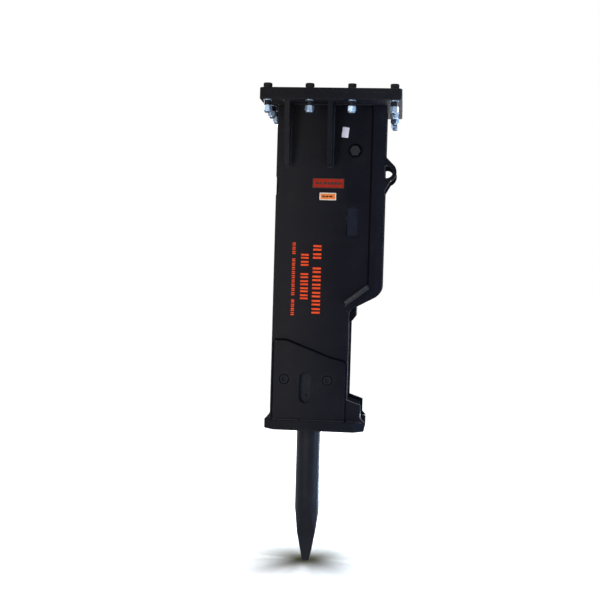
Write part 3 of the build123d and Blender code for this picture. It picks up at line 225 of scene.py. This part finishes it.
def dark_steel(colour, scale, roughness, metallic):
    """Black oxide or heat-treat scale, mottled, with bright rubbed edges."""

    def build(tree):
        soft, edge = rounded_edges(tree, 1.5 * MM)
        coat = blend(tree, spread(tree, grain(tree, 30, 8, 0.7), MOTTLED), colour, scale)
        rubbed = maths(tree, "MULTIPLY", edge, spread(tree, grain(tree, 120, 4), (0.45, 0.6)))
        return {
            "Base Color": blend(tree, maths(tree, "MULTIPLY", rubbed, RUBBED_SHARE), coat, BARE_STEEL),
            "Metallic": metallic,
            "Roughness": spread(tree, grain(tree, 60, 6), SOFT, roughness - 0.08, roughness + 0.12),
            "Specular IOR Level": STEEL_SHINE,
            "Normal": bump(tree, grain(tree, 240, 6, 0.65), 0.25 * MM, soft),
        }

    return build


def tool_steel(tree):
    """Turned and heat-treated shank: fine rings round it, scale in patches, a worn tip."""
    rings = grain(tree, 1, 2, 0.5, (12, 12, 1400))
    scale_patches = spread(tree, grain(tree, 9, 9, 0.7), (0.40, 0.68))
    coat = blend(tree, scale_patches, (0.004, 0.005, 0.009), (0.008, 0.009, 0.015))
    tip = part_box("chisel")[0].z
    near_tip = spread(tree, along(tree, "Z"), [tip + height for height in TIP_WEAR_HEIGHTS])
    worn = maths(tree, "MULTIPLY", near_tip, spread(tree, grain(tree, 70, 6), (0.35, 0.6)))
    coat = blend(tree, worn, coat, WORN_TIP)
    soft, edge = rounded_edges(tree, 3 * MM)
    return {
        "Base Color": blend(tree, maths(tree, "MULTIPLY", edge, 0.3), coat, BARE_STEEL),
        "Metallic": 0.75,
        "Roughness": spread(tree, grain(tree, 35, 7), SOFT, 0.42, 0.52),
        "Normal": bump(tree, rings, 0.06 * MM, soft),
    }


def rubber(tree):
    """Moulded rubber with a faint bloom."""
    bloom = spread(tree, grain(tree, 18, 7, 0.7), (0.42, 0.72))
    return {
        "Base Color": blend(tree, bloom, (0.008, 0.010, 0.018), (0.012, 0.015, 0.024)),
        "Roughness": spread(tree, grain(tree, 45, 5), SOFT, 0.55, 0.75),
        "Specular IOR Level": 0.05,
        "Normal": bump(tree, grain(tree, 420, 4), 0.2 * MM, rounded_edges(tree, 2 * MM)[0]),
    }


def enamel(colour, faded, roughness=0.38, chip=0.12):
    """Printed or enamelled colour, sun-faded in patches and scuffed here and there."""

    def build(tree):
        coat = blend(tree, spread(tree, grain(tree, 24, 6), (0.35, 0.7)), colour, faded)
        scuffs = spread(tree, grain(tree, 160, 8, 0.75), (0.62, 0.68), 0.0, chip)
        return {
            "Base Color": blend(tree, scuffs, coat, SCUFF),
            "Roughness": spread(tree, grain(tree, 60, 4), SOFT, roughness - 0.06, roughness + 0.1),
            "Specular IOR Level": 0.06,
            "Normal": bump(tree, grain(tree, 500, 3), 0.06 * MM),
        }

    return build


# ---------------------------------------------------------------- materials

SLOT_FINISHES = {
    "black_paint": painted((0.0040, 0.0043, 0.0074), (0.0066, 0.0070, 0.0108), 0.36),
    "black_steel": dark_steel((0.005, 0.006, 0.010), (0.010, 0.011, 0.015), 0.42, metallic=0.3),
    "zinc": metal(
        (0.18, 0.26, 0.38), (0.31, 0.40, 0.50), 0.34, (300, 300, 300), depth=0.03, metallic=0.8
    ),
    "tool_steel": tool_steel,
    "ground_steel": metal((0.52, 0.53, 0.55), (0.44, 0.45, 0.48), 0.24),
    "forged_body": dark_steel((0.0055, 0.0072, 0.0125), (0.0110, 0.0135, 0.0200), 0.45, metallic=0.35),
    "bronze": metal((0.50, 0.33, 0.14), (0.42, 0.27, 0.12), 0.32),
    "rubber": rubber,
    "red_plate": enamel((0.245, 0.013, 0.006), (0.29, 0.019, 0.010)),
}
OTHER_FINISHES = {
    "weld_paint": painted(
        (0.0060, 0.0068, 0.0110), (0.0095, 0.0105, 0.0155), 0.28,
        wear=0.04, dust=0.05, painted_light=0.3, shine=0.12,
    ),
    "step_paint": painted(
        (0.0060, 0.0072, 0.0120), (0.0100, 0.0116, 0.0170), 0.26,
        wear=0.15, dust=0.1, painted_light=0.0, shine=0.22,
    ),
    # Painted shade: near-black and without shine, for beads and rings that stand in for the shade in
    # grooves and recesses.
    "painted_shade": painted(
        (0.0022, 0.0024, 0.0048), (0.0034, 0.0036, 0.0064), 0.55,
        wear=0.0, dust=0.0, painted_light=0.0, shine=0.0,
    ),
    "flat_paint": painted(
        (0.0065, 0.0072, 0.0105), (0.0098, 0.0106, 0.0148), 0.45,
        wear=0.3, dust=0.2, painted_light=0.8, shine=0.0,
    ),
    "flange_paint": painted(
        (0.0085, 0.0090, 0.0125), (0.0115, 0.0120, 0.0155), 0.36,
        wear=0.3, dust=0.2, painted_light=0.9, shine=(0.0, 0.03),
    ),
    "head_paint": painted(
        (0.0200, 0.0205, 0.0225), (0.0260, 0.0265, 0.0285), 0.55,
        wear=0.1, dust=0.1, painted_light=0.0, shine=0.0,
    ),
    "navy_steel": dark_steel((0.0030, 0.0040, 0.0080), (0.0055, 0.0065, 0.0115), 0.42, metallic=0.3),
    "mark_orange": enamel((0.70, 0.070, 0.014), (0.60, 0.052, 0.012), 0.5, chip=0.5),
    "label_orange": enamel((0.70, 0.19, 0.040), (0.64, 0.16, 0.035)),
    "label_white": enamel((0.64, 0.58, 0.50), (0.56, 0.51, 0.45)),
    "label_dark": enamel((0.035, 0.020, 0.018), (0.055, 0.030, 0.026)),
    "tag_paper": enamel((0.56, 0.55, 0.66), (0.66, 0.65, 0.74), 0.6, chip=0.08),
}
MATERIALS = {name: material(name, build) for name, build in (SLOT_FINISHES | OTHER_FINISHES).items()}

# Nodes that wear another finish than their slot's usual one.
NODE_FINISHES = {
    "guide_bolts": "head_paint",
    # The washers' near-black ring is painted shade for their recess.
    "guide_washers": "painted_shade",
    "lower_side_bolts": "navy_steel",
    "foot_plate": "flat_paint",
    "base_plate": "flat_paint",
    "housing_flange": "flange_paint",
    "cap_plate": "flange_paint",
    "cap_bolts": "head_paint",
    "grease_nipple": "forged_body",
    "pin_stoppers": "forged_body",
}
for subpart in frame["record"]["subparts"]:
    name = subpart["node"]
    mesh = frame["nodes"][name].data
    mesh.materials.clear()
    mesh.materials.append(MATERIALS[NODE_FINISHES.get(name, subpart["material_slot"])])


# ---------------------------------------------------------------- piece helpers

def piece(name, points, faces, finish, smooth=True, body=BODY):
    """A mesh piece in the row frame that rides on a body."""
    mesh = bpy.data.meshes.new(name)
    mesh.from_pydata([tuple(p) for p in points], [], faces)
    mesh.validate()
    mesh.materials.append(MATERIALS[finish])
    mesh.shade_smooth() if smooth else mesh.shade_flat()
    made = bpy.data.objects.new(name, mesh)
    bpy.context.scene.collection.objects.link(made)
    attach(made, body)


def resampled(path, step):
    """Evenly spaced points along a polyline, each with its run from the start, and the total run."""
    path = [Vector(p) for p in path]
    out = []
    run = 0.0
    for a, b in zip(path, path[1:]):
        length = (b - a).length
        count = max(1, round(length / step))
        for i in range(count):
            out.append((a.lerp(b, i / count), run + length * i / count))
        run += length
    out.append((path[-1], run))
    return out, run


class Beads:
    """Weld beads gathered into one mesh: rippled tubes laid in the corners between plates."""

    SIDES_ROUND = 10
    PITCH = 8 * MM
    STATIONS_PER_RIPPLE = 4
    WANDER = ((37, 0.10), (140, 0.05))  # noise scale and share
    WANDER_SHARE = 0.6
    RIPPLE_DROP = 0.07
    RIPPLE_CROWN = 0.04
    CRATER = 1.1  # length of the rounded end, in radii
    THINNEST = 0.04
    UPRIGHT = 0.9

    def __init__(self, name):
        self.name = name
        self.points = []
        self.faces = []
        self.dice = random.Random(name)

    def lay(self, path, radius):
        """One run of bead along a path, tapering into a rounded crater at both ends."""
        stations, total = resampled(path, self.PITCH / self.STATIONS_PER_RIPPLE)
        first = len(self.points)
        phase = self.dice.uniform(0, 1)
        for i, (centre, run) in enumerate(stations):
            ahead = stations[min(i + 1, len(stations) - 1)][0]
            behind = stations[max(i - 1, 0)][0]
            forward = (ahead - behind).normalized()
            wander = sum(noise.noise(centre * scale) * share for scale, share in self.WANDER)
            wave = (run / self.PITCH + phase + 0.5 * wander) % 1
            crown = self.RIPPLE_CROWN * math.sin(math.pi * wave)
            ripple = 1 - self.RIPPLE_DROP * wave + crown + self.WANDER_SHARE * wander
            end = min(run, total - run) / (self.CRATER * radius)
            taper = math.sqrt(max(0.0, 1 - (1 - min(end, 1)) ** 2))
            size = radius * ripple * max(taper, self.THINNEST)
            side = forward.orthogonal().normalized()
            if abs(forward.z) < self.UPRIGHT:
                side = forward.cross(Vector((0, 0, 1))).normalized()
            up = side.cross(forward)
            for k in range(self.SIDES_ROUND):
                turn = 2 * math.pi * k / self.SIDES_ROUND
                self.points.append(centre + size * (math.cos(turn) * side + math.sin(turn) * up))
        for i in range(len(stations) - 1):
            for k in range(self.SIDES_ROUND):
                a = first + i * self.SIDES_ROUND + k
                b = first + i * self.SIDES_ROUND + (k + 1) % self.SIDES_ROUND
                self.faces.append((a, b, b + self.SIDES_ROUND, a + self.SIDES_ROUND))
        last = first + (len(stations) - 1) * self.SIDES_ROUND
        self.faces.append(tuple(first + k for k in reversed(range(self.SIDES_ROUND))))
        self.faces.append(tuple(last + k for k in range(self.SIDES_ROUND)))

    def both_sides(self, path, radius):
        for side in SIDES:
            self.lay([(x, side * y, z) for x, y, z in path], radius)

    def finish(self, paint="weld_paint"):
        piece(self.name, self.points, self.faces, paint)


# ---------------------------------------------------------------- camera, floor and light

LENS_MM = 62.9
SENSOR_MM = 36
CAMERA_PLACE = (0.547, -6.496, -1.074)
CAMERA_TURNS = (5.53, -1.58, 1.63)  # yaw, pitch and roll, in degrees
FLOOR_HALF = 60.0
FLOOR_PALE = (0.93, 0.93, 0.93)
FLOOR_GREY = (0.90, 0.90, 0.90)
FLOOR_WHITE = (1.0, 1.0, 1.0)
# Painted shadow on the floor round the tool's point: its colour, reach, sharpness and samples.
CONTACT_SHADE = (0.040, 0.036, 0.022)
CONTACT_REACH = 0.8
CONTACT_POWER = 14.0
CONTACT_SAMPLES = 32
FLOOR_GLOW = 0.62
OVERHEAD_STRENGTH = 1.45
OVERHEAD_SPREAD = 35  # degrees
MIDDLE = (0.1, 0, -1.3)
TOOL = (0, 0, -2.5)
# Name, place, what it points at, width and height, watts and colour.
SOFT_BOXES = (
    ("key", (-1.6, -3.4, -0.9), (0.0, 0, -1.2), (0.9, 2.8), 70, (1.0, 0.95, 0.90)),
    ("fill", (1.2, -6.5, 0.8), MIDDLE, (4.0, 3.0), 6, (0.80, 0.88, 1.0)),
    ("edge", (4.6, -0.5, -0.6), MIDDLE, (0.9, 4.4), 90, (0.50, 0.70, 1.0)),
    ("low_right", (2.4, -0.9, -2.2), (0, 0, -2.4), (0.5, 1.4), 30, (0.38, 0.60, 1.0)),
    ("sky", (3.6, -3.4, 0.2), MIDDLE, (1.6, 3.6), 12, (0.30, 0.52, 1.0)),
    ("tool_rim", (0.95, 1.30, -2.5), TOOL, (0.8, 0.7), 110, (0.78, 0.90, 1.0)),
    ("back_left", (-3.4, 3.8, 0.4), MIDDLE, (1.6, 3.5), 240, (1, 1, 1)),
    ("back_right", (3.6, 4.2, 0.2), MIDDLE, (1.6, 3.5), 240, (0.90, 0.95, 1.0)),
)


def add_camera():
    """A long lens a little to the right of the tool's axis and at mid height."""
    camera = bpy.data.cameras.new("camera")
    camera.lens = LENS_MM
    camera.sensor_width = SENSOR_MM
    holder = bpy.data.objects.new("camera", camera)
    bpy.context.scene.collection.objects.link(holder)
    yaw, pitch, roll = (math.radians(turn) for turn in CAMERA_TURNS)
    turn = (
        Matrix.Rotation(yaw, 4, "Z")
        @ Matrix.Rotation(math.pi / 2 + pitch, 4, "X")
        @ Matrix.Rotation(roll, 4, "Z")
    )
    holder.matrix_world = Matrix.Translation(CAMERA_PLACE) @ turn
    bpy.context.scene.camera = holder


def pale_floor(tree):
    """A pale floor that glows evenly, darkened by a painted shadow where the tool's point comes down
    on it.
    """
    cloud = spread(tree, grain(tree, 1.5, 5), SOFT)
    open_air = node(
        tree, "ShaderNodeAmbientOcclusion", {"Distance": CONTACT_REACH}, samples=CONTACT_SAMPLES
    )
    # Painted shadow: an occlusion mask, sharpened, that darkens the floor's colour and glow round the
    # tool's point.
    painted_shadow = maths(tree, "POWER", open_air.outputs["AO"], CONTACT_POWER)
    pale_grey = blend(tree, cloud, FLOOR_PALE, FLOOR_GREY)
    return {
        "Base Color": blend(tree, painted_shadow, CONTACT_SHADE, pale_grey),
        "Roughness": 0.9,
        "Specular IOR Level": 0.0,
        "Emission Color": blend(tree, painted_shadow, CONTACT_SHADE, FLOOR_WHITE),
        "Emission Strength": FLOOR_GLOW,
    }


def add_stage():
    """The floor at the height of the tool's point, which glossy surfaces don't mirror."""
    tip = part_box("chisel")[0].z
    half = FLOOR_HALF
    mesh = bpy.data.meshes.new("floor")
    corners = [(-half, -half, tip), (half, -half, tip), (half, half, tip), (-half, half, tip)]
    mesh.from_pydata(corners, [], [(0, 1, 2, 3)])
    mesh.materials.append(material("floor", pale_floor))
    floor = bpy.data.objects.new("floor", mesh)
    bpy.context.scene.collection.objects.link(floor)
    floor.visible_glossy = False


def soft_box(name, place_at, aim, size, power, colour):
    """A rectangular area light that the camera doesn't see."""
    light = bpy.data.lights.new(name, "AREA")
    light.shape = "RECTANGLE"
    light.size, light.size_y = size
    light.energy = power
    light.color = colour
    holder = bpy.data.objects.new(name, light)
    bpy.context.scene.collection.objects.link(holder)
    holder.location = place_at
    holder.rotation_euler = (Vector(aim) - Vector(place_at)).to_track_quat("-Z", "Y").to_euler()
    holder.visible_camera = False


def add_light():
    """A white surround, a wide overhead light for the floor, and soft boxes round the object."""
    world = bpy.data.worlds.new("studio")
    bpy.context.scene.world = world
    world.use_nodes = True
    world.node_tree.nodes["Background"].inputs["Color"].default_value = (1.0, 1.0, 1.0, 1.0)
    world.node_tree.nodes["Background"].inputs["Strength"].default_value = 1.0
    world.cycles_visibility.diffuse = False
    overhead = bpy.data.lights.new("overhead", "SUN")
    overhead.energy = OVERHEAD_STRENGTH
    overhead.angle = math.radians(OVERHEAD_SPREAD)
    bpy.context.scene.collection.objects.link(bpy.data.objects.new("overhead", overhead))
    for box in SOFT_BOXES:
        soft_box(*box)
    bpy.context.scene.view_settings.view_transform = "Standard"


add_camera()
add_stage()
add_light()


# ---------------------------------------------------------------- weld beads

plate_low, plate_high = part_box("side_plate_left")
flange_z = plate_high.z
base_z = plate_low.z
outer_y = -plate_low.y
inner_y = -plate_high.y
bar_inner_y = -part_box("corner_bar_left")[1].y
wear_low, wear_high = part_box("wear_plate_left")
wear_y = -wear_low.y
front_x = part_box("front_plate")[1].x
lower_front_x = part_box("lower_front_plate")[1].x
rear_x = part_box("rear_plate")[0].x
step_low, step_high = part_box("step_plate")
foot_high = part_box("foot_plate")[1]

PLATE_REAR_X = -229 * MM
PLATE_FRONT_X = 325 * MM
BAR_JOIN_X = 343 * MM
BAR_JOIN_LOW = -1.150
LOWER_FRONT_TOP = -1.340
STEP_RISE = 0.103
RIB_THICKNESS = 29 * MM
FINE_BEAD = 5 * MM
THIN_BEAD = 6 * MM
PLATE_BEAD = 7 * MM
RIB_BEAD = 8 * MM
WEAR_TOP_BEAD = 10 * MM
STEP_BEAD = 14 * MM
STEP_CAP_BEAD = 10 * MM
# X of each corner of a wear plate's top edge, and how far it is below the plate's top.
WEAR_TOP = ((-137 * MM, 0.0), (129 * MM, 0.100), (208 * MM, 0.119), (wear_high.x, 0.136))
SEAM_BEND = 30 * MM
SEAM_BEND_STEPS = 6
SEAM_RUN = 0.19
STEP_START = Vector((BAR_JOIN_X + 0.006, outer_y - 0.001, -1.158))
STEP_FINISH = Vector((207 * MM, outer_y - 0.001, -1.267))
STEP_INSET = Vector((-0.004, 0.003, 0.009))


def add_plate_welds():
    """Seams between the side plates, the top flange, the base and the end walls."""
    beads = Beads("plate_welds")
    flange_end = front_x - 0.075
    beads.both_sides([(PLATE_REAR_X, outer_y, flange_z), (flange_end, outer_y, flange_z)], PLATE_BEAD)
    beads.both_sides([(rear_x, inner_y, flange_z - 0.01), (rear_x, inner_y, base_z)], FINE_BEAD)
    wall = [(front_x, bar_inner_y, flange_z), (front_x, bar_inner_y, step_high.z)]
    beads.both_sides(wall, PLATE_BEAD)
    slope = [(front_x, bar_inner_y, step_low.z + STEP_RISE), (lower_front_x, bar_inner_y, step_low.z)]
    beads.both_sides(slope, THIN_BEAD)
    lower_wall = [(lower_front_x, inner_y, LOWER_FRONT_TOP), (lower_front_x, inner_y, foot_high.z)]
    beads.both_sides(lower_wall, THIN_BEAD)
    beads.both_sides([(wear_low.x, wear_y, base_z), (wear_high.x, wear_y, base_z)], THIN_BEAD)
    toe = [(wear_high.x + RIB_BEAD, outer_y, base_z), (PLATE_FRONT_X, outer_y, base_z)]
    beads.both_sides(toe, THIN_BEAD)
    beads.lay([(front_x, -bar_inner_y, flange_z), (front_x, bar_inner_y, flange_z)], PLATE_BEAD)
    for x in (rear_x, foot_high.x):
        beads.lay([(x, -inner_y, base_z), (x, inner_y, base_z)], PLATE_BEAD)
    beads.finish()


def add_rib_welds():
    """Fillets down both edges of each gusset, along its top and round its foot."""
    beads = Beads("rib_welds")
    low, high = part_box("flange_ribs")
    edges = [low.x, low.x + RIB_THICKNESS, high.x - RIB_THICKNESS, high.x]
    for x in edges:
        beads.both_sides([(x, outer_y, flange_z - 0.004), (x, outer_y, low.z + 0.002)], RIB_BEAD)
        beads.both_sides([(x, outer_y, flange_z), (x, high.y, flange_z)], PLATE_BEAD)
    for x in edges[::2]:
        foot = [(x - 0.004, outer_y, low.z), (x + RIB_THICKNESS + 0.004, outer_y, low.z)]
        beads.both_sides(foot, RIB_BEAD)
    beads.finish()


def add_wear_plate_welds():
    """A fillet along the top and the two upright edges of each lower wear plate, in near-black paint
    that stands in for the shade along the seam.
    """
    beads = Beads("wear_plate_welds")
    top = [(wear_low.x, outer_y, wear_high.z)]
    top += [(x, outer_y, wear_high.z - drop) for x, drop in WEAR_TOP]
    beads.both_sides(top, WEAR_TOP_BEAD)
    for upper in (top[-1], top[0]):
        beads.both_sides([upper, (upper[0], outer_y, base_z)], RIB_BEAD)
    beads.finish("painted_shade")


def add_bar_seams():
    """A near-black bead in the seam where each corner bar meets its side plate, turning in under the
    flange: painted shade for the shadow in the groove.
    """
    beads = Beads("bar_seams")
    path = [(BAR_JOIN_X, outer_y, BAR_JOIN_LOW)]
    for step in range(SEAM_BEND_STEPS + 1):
        turn = math.pi / 2 * step / SEAM_BEND_STEPS
        x = BAR_JOIN_X - SEAM_BEND * (1 - math.cos(turn))
        path.append((x, outer_y, flange_z - SEAM_BEND * (1.2 - math.sin(turn))))
    path.append((BAR_JOIN_X - SEAM_RUN, outer_y, flange_z - 0.2 * SEAM_BEND))
    beads.both_sides(path, FINE_BEAD)
    beads.finish("painted_shade")


def add_step_welds():
    """The heavy bead on each side where the corner bar turns in along the step."""
    beads = Beads("step_welds")
    beads.both_sides([STEP_START, STEP_FINISH], STEP_BEAD)
    beads.both_sides([STEP_START + STEP_INSET, STEP_FINISH + STEP_INSET], STEP_CAP_BEAD)
    beads.finish("step_paint")


def add_brace_welds():
    """A bead right round the cross brace on the lower front wall."""
    beads = Beads("brace_welds")
    low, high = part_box("cross_brace")
    x = lower_front_x
    loop = [(x, low.y, low.z), (x, high.y, low.z), (x, high.y, high.z), (x, low.y, high.z)]
    beads.lay(loop + loop[:1], THIN_BEAD)
    beads.finish()


add_plate_welds()
add_rib_welds()
add_wear_plate_welds()
add_bar_seams()
add_step_welds()
add_brace_welds()


# ---------------------------------------------------------------- labels and painted marks

# Centre X, top Z, bar width, pitch between pairs, bar thickness, and the pairs in each group.
MARK_ROWS = (
    (0.033, -0.913, 0.050, 0.0490, 0.0115, (2, 6)),
    (-0.041, -0.968, 0.046, 0.0425, 0.0105, (2, 4)),
    (-0.108, -0.902, 0.019, 0.0255, 0.0065, (3, 9, 4)),
)
PAIR_PLACES = (0.16, 0.60)  # of the pitch, for the two bars of a pair
GROUP_GAP = 0.75  # of the pitch
MARK_DEPTH = 0.25 * MM
RIM_WIDTH = 4.5 * MM
RIM_HEIGHT = 1 * MM
RIM_CORNERS = (4 * MM, 2.5 * MM)
# Lengths of the name plate's bars, as shares of its width. A zero leaves a gap.
PLATE_BARS = (0.09, 0.09, 0.0, 0.11, 0.07, 0.09, 0.09, 0.07, 0.05)
PLATE_BARS_START = -0.40
PLATE_BAR_GAP = 0.022
PLATE_BAR_HEIGHT = 0.26
STICKER_PLACE = (0.087, -0.621)
STICKER_BARS = ((-0.026, 0.016), (-0.005, 0.018), (0.018, 0.020))  # offset and width
FILM = 0.15 * MM
TAG_PLACE = (0.182, -0.236)
TAG_TILT = math.radians(-7)


def rounded_outline(width, height, radius, corner_points=6):
    """A rounded rectangle about the origin, as (across, up) points."""
    out = []
    for i, (sx, sy) in enumerate(((1, 1), (-1, 1), (-1, -1), (1, -1))):
        centre = (sx * (width / 2 - radius), sy * (height / 2 - radius))
        for k in range(corner_points + 1):
            turn = math.pi / 2 * (i + k / corner_points)
            out.append((centre[0] + radius * math.cos(turn), centre[1] + radius * math.sin(turn)))
    return out


def placed(outline, x, z, turn=0.0):
    """An outline turned by an angle and moved to (x, z)."""
    c, s = math.cos(turn), math.sin(turn)
    return [(x + c * u - s * v, z + s * u + c * v) for u, v in outline]


def film(name, outlines, depth, finish, lift=0.0, base=outer_y):
    """Flat pieces of film or sheet on the left side plate, from (x, z) outlines in metres."""
    points = []
    faces = []
    y = -(base + lift)
    for outline in outlines:
        first = len(points)
        count = len(outline)
        points += [(x, y, z) for x, z in outline]
        points += [(x, y - depth, z) for x, z in outline]
        faces.append(tuple(first + k for k in range(count)))
        faces.append(tuple(first + count + k for k in reversed(range(count))))
        for k in range(count):
            n = (k + 1) % count
            faces.append((first + k, first + count + k, first + count + n, first + n))
    piece(name, points, faces, finish, smooth=False)


def add_marks():
    """Three upright rows of plain orange bars in pairs, spaced like words, with no lettering."""
    blocks = []
    for centre, top, width, pitch, thickness, groups in MARK_ROWS:
        left, right = centre - width / 2, centre + width / 2
        z = top
        for group in groups:
            for _ in range(group):
                for share in PAIR_PLACES:
                    low, high = z - share * pitch - thickness / 2, z - share * pitch + thickness / 2
                    blocks.append([(left, low), (right, low), (right, high), (left, high)])
                z -= pitch
            z -= GROUP_GAP * pitch
    film("painted_marks", blocks, MARK_DEPTH, "mark_orange")


def add_name_plate_trim():
    """A raised dark rim and a row of plain bars on the red plate."""
    low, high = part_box("name_plate")
    middle_x, middle_z = (low.x + high.x) / 2, (low.z + high.z) / 2
    width, height = high.x - low.x, high.z - low.z
    face = -low.y
    crest = face + RIM_HEIGHT
    outer = rounded_outline(width, height, RIM_CORNERS[0])
    inner = rounded_outline(width - 2 * RIM_WIDTH, height - 2 * RIM_WIDTH, RIM_CORNERS[1])
    count = len(outer)
    points = []
    for outline, y in ((outer, face), (outer, crest), (inner, crest), (inner, face)):
        points += [(middle_x + u, -y, middle_z + v) for u, v in outline]
    faces = []
    for ring in range(4):
        a, b = ring * count, (ring + 1) % 4 * count
        for k in range(count):
            n = (k + 1) % count
            faces.append((a + k, b + k, b + n, a + n))
    piece("name_plate_rim", points, faces, "label_dark", smooth=False)

    bars = []
    x = PLATE_BARS_START * width
    for share in PLATE_BARS:
        length = share * width
        if length:
            outline = rounded_outline(length, PLATE_BAR_HEIGHT * height, 2 * MM)
            bars.append(placed(outline, middle_x + x + length / 2, middle_z))
        x += length + PLATE_BAR_GAP * width
    film("name_plate_bars", bars, 0.2 * MM, "label_dark", base=face)


def add_stickers():
    """An orange sticker with a pale edge, and a paper tag stuck on a little crooked."""
    x, z = STICKER_PLACE
    pale = placed(rounded_outline(0.100, 0.044, 0.003), x, z)
    film("sticker_edge", [pale], FILM, "label_white")
    orange = placed(rounded_outline(0.088, 0.033, 0.002), x, z)
    film("sticker_face", [orange], FILM, "label_orange", lift=FILM)
    bars = [placed(rounded_outline(w, 0.010, 0.001), x + dx, z) for dx, w in STICKER_BARS]
    film("sticker_bars", bars, 0.1 * MM, "label_dark", lift=2 * FILM)
    tag = placed(rounded_outline(0.040, 0.062, 0.003), *TAG_PLACE, TAG_TILT)
    film("paper_tag", [tag], 0.3 * MM, "tag_paper")


add_marks()
add_name_plate_trim()
add_stickers()
